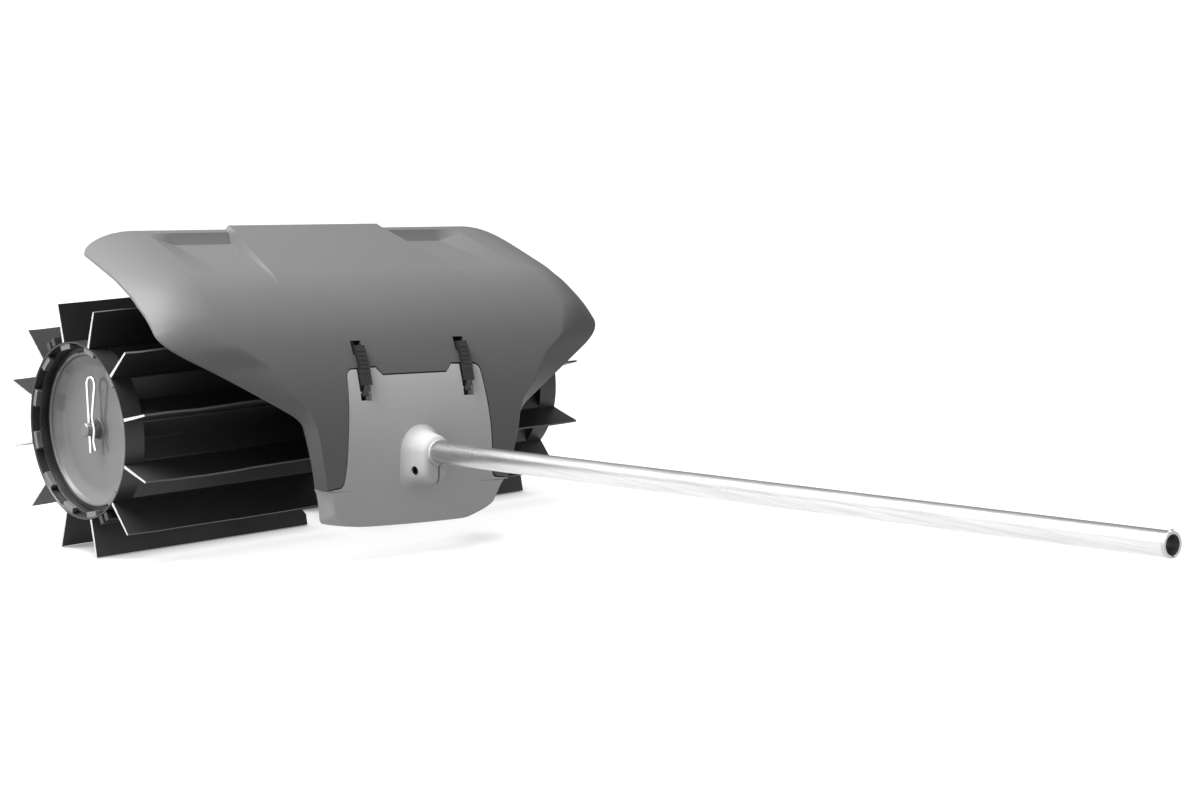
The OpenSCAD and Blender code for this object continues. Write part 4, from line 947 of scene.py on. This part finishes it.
def soft_box(name, place, towards, size, power):
    """A square lamp aimed at a point."""
    lamp = bpy.data.lights.new(name, "AREA")
    lamp.shape = "RECTANGLE"
    lamp.size = size
    lamp.size_y = size
    lamp.energy = power
    box = bpy.data.objects.new(name, lamp)
    box.location = place
    box.rotation_euler = (Vector(towards) - Vector(place)).to_track_quat("-Z", "Y").to_euler()
    bpy.context.scene.collection.objects.link(box)
    return box


def room_light(world):
    """A white backdrop to the camera, and a room that is brighter on the left to everything else."""
    tree = world.node_tree
    sky = tree.nodes["Background"]
    sky.inputs["Color"].default_value = (1, 1, 1, 1)
    path = tree.nodes.new("ShaderNodeLightPath")
    facing = tree.nodes.new("ShaderNodeVectorMath")
    facing.operation = "DOT_PRODUCT"
    tree.links.new(tree.nodes.new("ShaderNodeTexCoord").outputs["Generated"], facing.inputs[0])
    facing.inputs[1].default_value = BRIGHT_WAY
    glow = maths(tree, "MULTIPLY_ADD", facing.outputs["Value"], BRIGHT_SHARE, EVEN_SHARE)
    gain = maths(tree, "MULTIPLY_ADD", path.outputs["Is Glossy Ray"], 0.6, 0.9)
    lit = maths(tree, "MULTIPLY", glow, gain)
    backdrop = maths(tree, "MULTIPLY", path.outputs["Is Camera Ray"], BACKDROP)
    tree.links.new(maths(tree, "MAXIMUM", backdrop, lit), sky.inputs["Strength"])


def studio():
    """White paper under the drums, a lit room and two soft boxes."""
    flaps = [nodes["flaps_left"], nodes["flaps_right"]]
    floor_z = min((node.matrix_world @ vert.co).z for node in flaps for vert in node.data.vertices)
    sheet = bmesh.new()
    bmesh.ops.create_grid(sheet, x_segments=4, y_segments=4, size=40)
    bmesh.ops.translate(sheet, verts=sheet.verts, vec=(0, 0.8, floor_z - 0.0006))
    floor = piece("studio_floor", sheet, pale_floor())
    floor.visible_diffuse = False
    scene = bpy.context.scene
    scene.world = bpy.data.worlds.new("room")
    scene.world.use_nodes = True
    room_light(scene.world)
    soft_box("ceiling", (-1.3, 1.7, 2.4), (-0.1, 1.2, 0), 1.8, 255)
    soft_box("side_panel", (-2.6, 3.3, 0.4), (-0.3, 1.25, 0), 0.3, 150).visible_glossy = False
    scene.view_settings.view_transform = "Standard"


# The pieces in view


dress(drawn_tube(), "drive_tube")
dress(BUSH_PLASTIC, "shaft_bushes")
dress(PLATED_STEEL, "gearbox_screws", "grease_plug")
dress(GROUND_STEEL, *[f"{shaft}_bearing_{part}" for shaft in ("axle", "worm")
                      for part in ("outer_rings", "inner_rings", "balls")])
dress(SEAL_RUBBER, "axle_seals", "shaft_seal")
dress(BLACK_SCREW, "clamp_nut")
dress(TURNED_STEEL, "axle_spacers", "latch_pins", "drive_pin_left", "drive_pin_right", "wheel_key",
      "drive_shaft", "worm")
dress(BRONZE, "worm_wheel")
hood()
front_plate()
for drum_side in SIDES:
    side = side_name(drum_side)
    flap_set(drum_side)
    end_ring(drum_side)
    end_cap(drum_side)
    for part in ("upper_shell", "lower_shell"):
        softened(f"drum_{part}_{side}", f"{part}_{side}", "rotor", "drum_plastic", DRUM_PLASTIC, 0.9, 20)
    softened(f"drum_hub_{side}", f"hub_plate_{side}", "rotor", "drum_plastic", DRUM_PLASTIC, 0.7)
    softened(f"gearbox_half_{side}", f"gearbox_{side}", "guard_and_tube", "gearbox_casting", CASTING, 1.0)
    hook_latch(drum_side)
    softened(f"retaining_clip_{side}", f"r_clip_{side}", "rotor", "clip_wire", CLIP_WIRE, 0, 50)
clamp_screw()
softened("locating_ring", "tube_end_ring", "guard_and_tube", "end_ring_steel", RING_STEEL, 0.25)
softened("drum_axle", "axle", "rotor", "axle_steel", AXLE_STEEL, 0.3)
studio()
place_camera()
